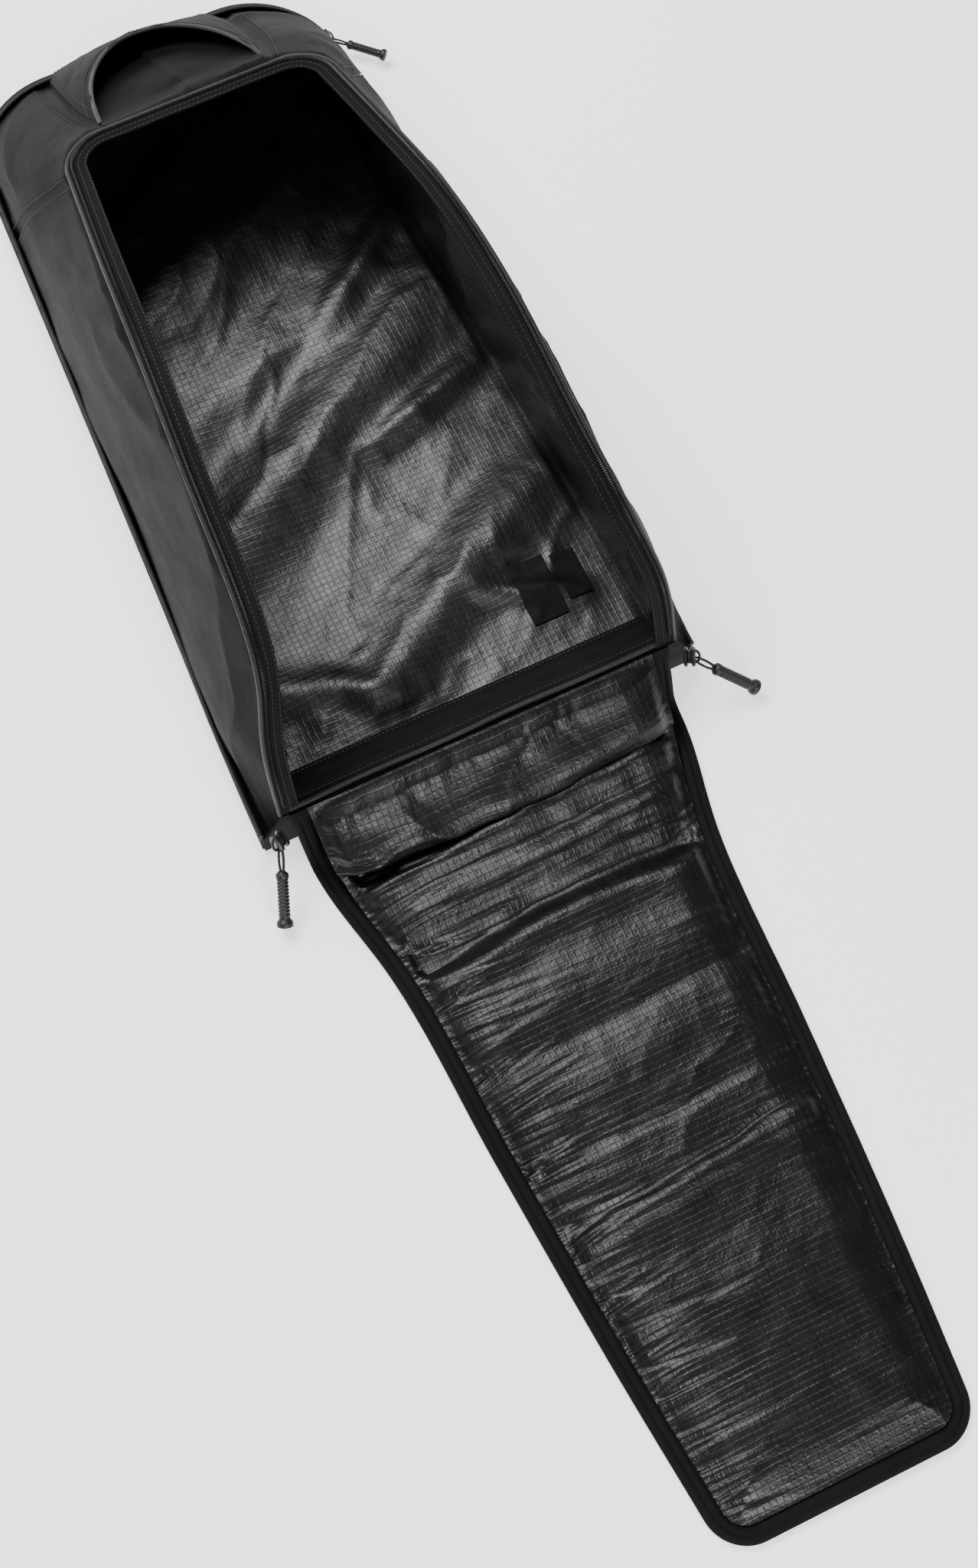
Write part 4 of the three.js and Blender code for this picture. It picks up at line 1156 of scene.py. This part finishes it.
def make_flap():
    s = FLAP_ROWS[:, None]
    inner_inset = FLAP_INSET + FLAP_BORDER
    f = np.linspace(-1, 1, 116)[None, :]
    reach = flap_half_width(np.minimum(s, FLAP_LENGTH - inner_inset), inner_inset)
    s_core = np.minimum(s, FLAP_LENGTH - inner_inset - 1e-5 * (s.max() - s))
    x = np.sign(f) * np.abs(f) ** 0.9 * reach
    top = flap_point(x, s_core, flap_top_height(x, s_core, reach))
    under = flap_point(x, s_core, -4.6 * MM * smooth(s_core / 0.015) - 0.2 * MM)
    uv = points(x, s_core)
    for k, name in enumerate(LENGTH_NAMES):
        piece = flap_length(f"flap_lining_{name}", k, top, under, uv, FLAP_LINER, "ripstop_liner",
                            (f"flap_{name}_liner", f"flap_{name}_padding"))
    make_flap_border()
    make_flap_shell()


def make_flap_border():
    """The dark edge of the flap: its tape along both sides and round the far end."""
    width = FLAP_INSET + FLAP_BORDER
    for side, label in ((-1, "left"), (1, "right")):
        for k, name in enumerate(LENGTH_NAMES[:3]):
            start, end = split_rows(FLAP_ROWS)[k]
            border_length(f"flap_border_{name}_{label}", side, k, FLAP_ROWS[start:end + 1], width,
                          (f"flap_{name}_border_{label}",))
    end_border(width)


def border_profile(inset, s):
    """Height of the border over the flap's inner face at this inset from its edge."""
    across = (inset - FLAP_INSET) / FLAP_BORDER
    swell = 1.6 * MM * np.sin(math.pi * np.clip(across, 0, 1)) ** 0.5
    pinch = 1.1 * MM * bell(across - 0.42, 0.06) + 1.3 * MM * bell(across - 1, 0.08)
    ripple = 0.4 * MM * cloudy(s * 60, across * 2, 201)
    dip = 3.2 * MM * bell(s - FOLD_AT[1], 0.022)
    height = np.maximum(swell - pinch + ripple - 1.9 * MM - dip, -4.9 * MM)
    return height * smooth(s / 0.02)


def border_length(name, side, k, s, width, nodes):
    inset = np.linspace(FLAP_INSET, width + 1.5 * MM, 14)[None, :]
    s = s[:, None]
    x = side * (flap_half_width(s, FLAP_INSET) + FLAP_INSET - inset)
    full_s = s + 0 * inset
    top = flap_point(x, full_s, border_profile(inset, full_s))
    under = flap_point(x, full_s, -5.4 * MM * smooth(full_s / 0.015) - 0.2 * MM)
    uv = points(full_s, inset)
    folded(sheet(name, top, under, uv, TAPE), k, "binding_tape", *nodes)


def end_border(width):
    """The border's U round the flap's far end."""
    cut = FLAP_ROWS[split_rows(FLAP_ROWS)[3][0]]
    start_q = cut / (FLAP_LENGTH - RIM_CORNER)
    q = rim_q(170)
    q = np.concatenate([[start_q], q[(q > start_q) & (q < 5 - start_q)], [5 - start_q]])[:, None]
    inset = np.linspace(FLAP_INSET, width + 1.5 * MM, 14)[None, :]
    x, s = rim_place(q, inset, FLAP_LENGTH)
    top = flap_point(x, s, border_profile(inset, s))
    under = flap_point(x, s, -5.6 * MM)
    along = wall_metric(q, 0 * q)[0]
    piece = sheet("flap_border_end", top, under, points(along, inset), TAPE)
    folded(piece, 3, "binding_tape", "flap_top_border")


def make_flap_shell():
    s = FLAP_ROWS[:, None]
    f = np.linspace(-1, 1, 60)[None, :]
    x = f * flap_half_width(s, FLAP_INSET)
    thick = FLAP_THICKNESS * smooth((s + 4 * MM) / 0.02)
    ripple = 0.35 * MM * (1 + cloudy(x * 20, s * 20, 211))
    top = flap_point(x, s, -thick + 1.4 * MM)
    under = flap_point(x, s, -thick + ripple)
    uv = points(x, s)
    for k, name in enumerate(LENGTH_NAMES):
        flap_length(f"flap_outer_{name}", k, top, under, uv, SHELL, "coated_shell",
                    (f"flap_{name}_shell",))


# ------------------------------------------------------------------ sliders and pulls
def unit(v):
    v = np.asarray(v, float)
    return v / np.linalg.norm(v)


def box_middle(node):
    low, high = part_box(node)
    return np.array((low + high) / 2)


SLIDER_POINTS = 28            # round a slider's outline
SLIDER_PLATES = ((2.6, 1.0), (-2.6, 1.0), (0.0, 0.72))       # millimetres out, and size
PLATE_RINGS = ((-1.3, 0.86), (-0.9, 1.0), (0.9, 1.0), (1.3, 0.86))


def slider_parts(centre, travel, face, scale):
    """A zip slider: two waisted plates, the neck between them and a bridge for the loop."""
    side = np.cross(travel, face)
    angle = np.linspace(0, 2 * math.pi, SLIDER_POINTS, endpoint=False)
    parts = []
    for offset, size in SLIDER_PLATES:
        waist = 5.2 * (1 - 0.22 * np.sin(angle)) * np.cos(angle) * size
        tall = 8 * np.sin(angle) * size
        verts = []
        for level, shrink in PLATE_RINGS:
            ring = side * (waist * shrink)[:, None] + travel * (tall * shrink)[:, None]
            verts.append(centre + (ring + face * (offset + level)) * MM * scale)
        parts.append((np.concatenate(verts), ring_faces(len(PLATE_RINGS), SLIDER_POINTS)))
    f = np.linspace(0, math.pi, 12)
    bridge = travel * (5.5 * np.cos(f))[:, None] + face * (3.6 + 3.0 * np.sin(f))[:, None]
    parts.append(tube_mesh(centre + bridge * MM * scale, 1.0 * MM * scale, 8))
    return parts


PULL_LENGTH = 38 * MM


def pull_parts(start, direction, scale):
    """The moulded grip: a ribbed tube with a collar and a flared end."""
    t = np.linspace(0, 1, 90)
    radius = 3.7 + 0.35 * np.sin(t * 2 * math.pi * 16) * ((t > 0.14) & (t < 0.78))
    radius = np.where(t < 0.12, lerp(2.6, 4.3, smooth(t / 0.05)), radius)
    radius = np.where(t > 0.82, lerp(3.7, 5.5, smooth((t - 0.82) / 0.1)), radius)
    radius = np.where(t > 0.97, radius * np.sqrt(np.clip(1 - ((t - 0.97) / 0.035) ** 2, 0.2, 1)), radius)
    path = start + direction * (t * PULL_LENGTH * scale)[:, None]
    return [tube_mesh(path, radius * MM * scale, 20)]


def make_slider(name, scale):
    travel = unit(JOINTS[f"{name}_slider_travel"]["axis"])
    centre = box_middle(f"{name}_slider")
    eye = np.array(JOINTS[f"{name}_pull_swing"]["pos_m"])
    hang = unit(box_middle(f"{name}_pull") - eye)
    outward = unit(centre * np.array([1, 1, 0]) - np.array([0, centre[1] * 0.7, 0]))
    face = unit(outward - travel * np.dot(outward, travel))
    slider = joined(f"{name}_slider_body", slider_parts(centre, travel, face, scale), SLIDER)
    settle(slider, f"{name}_slider", "slider_metal", f"{name}_slider")
    side = unit(np.cross(hang, face))
    angle = np.linspace(0, 2 * math.pi, 40)
    stretch = 9.5 * scale
    loop_centre = eye + hang * 3.5 * MM * scale
    loop = loop_centre + (hang * (stretch * np.cos(angle))[:, None]
                          + side * (2.3 * scale * np.sin(angle))[:, None]) * MM
    settle(tube(f"{name}_cord_loop", loop, 0.95 * MM * scale, EDGING), f"{name}_pull",
           "moulded_pull", f"{name}_pull_loop")
    start = eye + hang * 11.5 * MM * scale
    pull = joined(f"{name}_grip", pull_parts(start, hang, scale), PULL)
    settle(pull, f"{name}_pull", "moulded_pull", f"{name}_pull")


# ------------------------------------------------------------------ floor and light
FLOOR = 60
LIGHTS = (   # name, place, what it points at, size, watts
    ("key", (-0.35, 0.9, 2.1), (0, -0.05, 0.1), (1.8, 1.1), 96),
    ("left", (-2.0, -0.1, 1.5), (0, -0.1, 0.1), (1.2, 1.6), 7),
    ("front", (0.2, -2.2, 2.0), (0, -0.4, 0), (1.6, 0.6), 15),
    ("inside", (-0.1, -1.9, 1.0), (0.02, 0.25, 0.12), (0.5, 0.3), 22),
)


def make_stage():
    mesh = bpy.data.meshes.new("floor")
    corners = [(-FLOOR, -FLOOR, 0), (FLOOR, -FLOOR, 0), (FLOOR, FLOOR, 0), (-FLOOR, FLOOR, 0)]
    mesh.from_pydata(corners, [], [(0, 1, 2, 3)])
    floor = bpy.data.objects.new("floor", mesh)
    floor.location.z = -0.4 * MM
    material, _, _, shader = material_base("pale floor", (0.85, 0.85, 0.85), 0.9)
    shader.inputs["Emission Color"].default_value = (1, 1, 1, 1)
    shader.inputs["Emission Strength"].default_value = 1.0
    mesh.materials.append(material)
    bpy.context.scene.collection.objects.link(floor)
    world = bpy.data.worlds.new("studio")
    world.use_nodes = True
    sky = world.node_tree.nodes["Background"]
    sky.inputs["Color"].default_value = (1, 1, 1, 1)
    sky.inputs["Strength"].default_value = 0.15
    bpy.context.scene.world = world


def soft_light(name, place, target, size, power):
    data = bpy.data.lights.new(name, "AREA")
    data.shape = "RECTANGLE"
    data.size, data.size_y = size
    data.energy = power
    light = bpy.data.objects.new(name, data)
    light.location = place
    light.rotation_mode = "QUATERNION"
    light.rotation_quaternion = (Vector(target) - Vector(place)).to_track_quat("-Z", "Y")
    bpy.context.scene.collection.objects.link(light)


# ------------------------------------------------------------------ making the scene
make_walls()
make_linings()
make_rim()
make_rear_band()
make_foot_wall()
make_hinge()
make_back_panel()
make_handle()
make_label("care_label", 5 * MM, 221)
make_label("size_label", 3 * MM, 223)
make_pocket()
make_flap()
for slider_name, slider_scale in (("left", 1.0), ("right", 1.0), ("rear", 0.8)):
    make_slider(slider_name, slider_scale)
make_stage()
for light in LIGHTS:
    soft_light(*light)
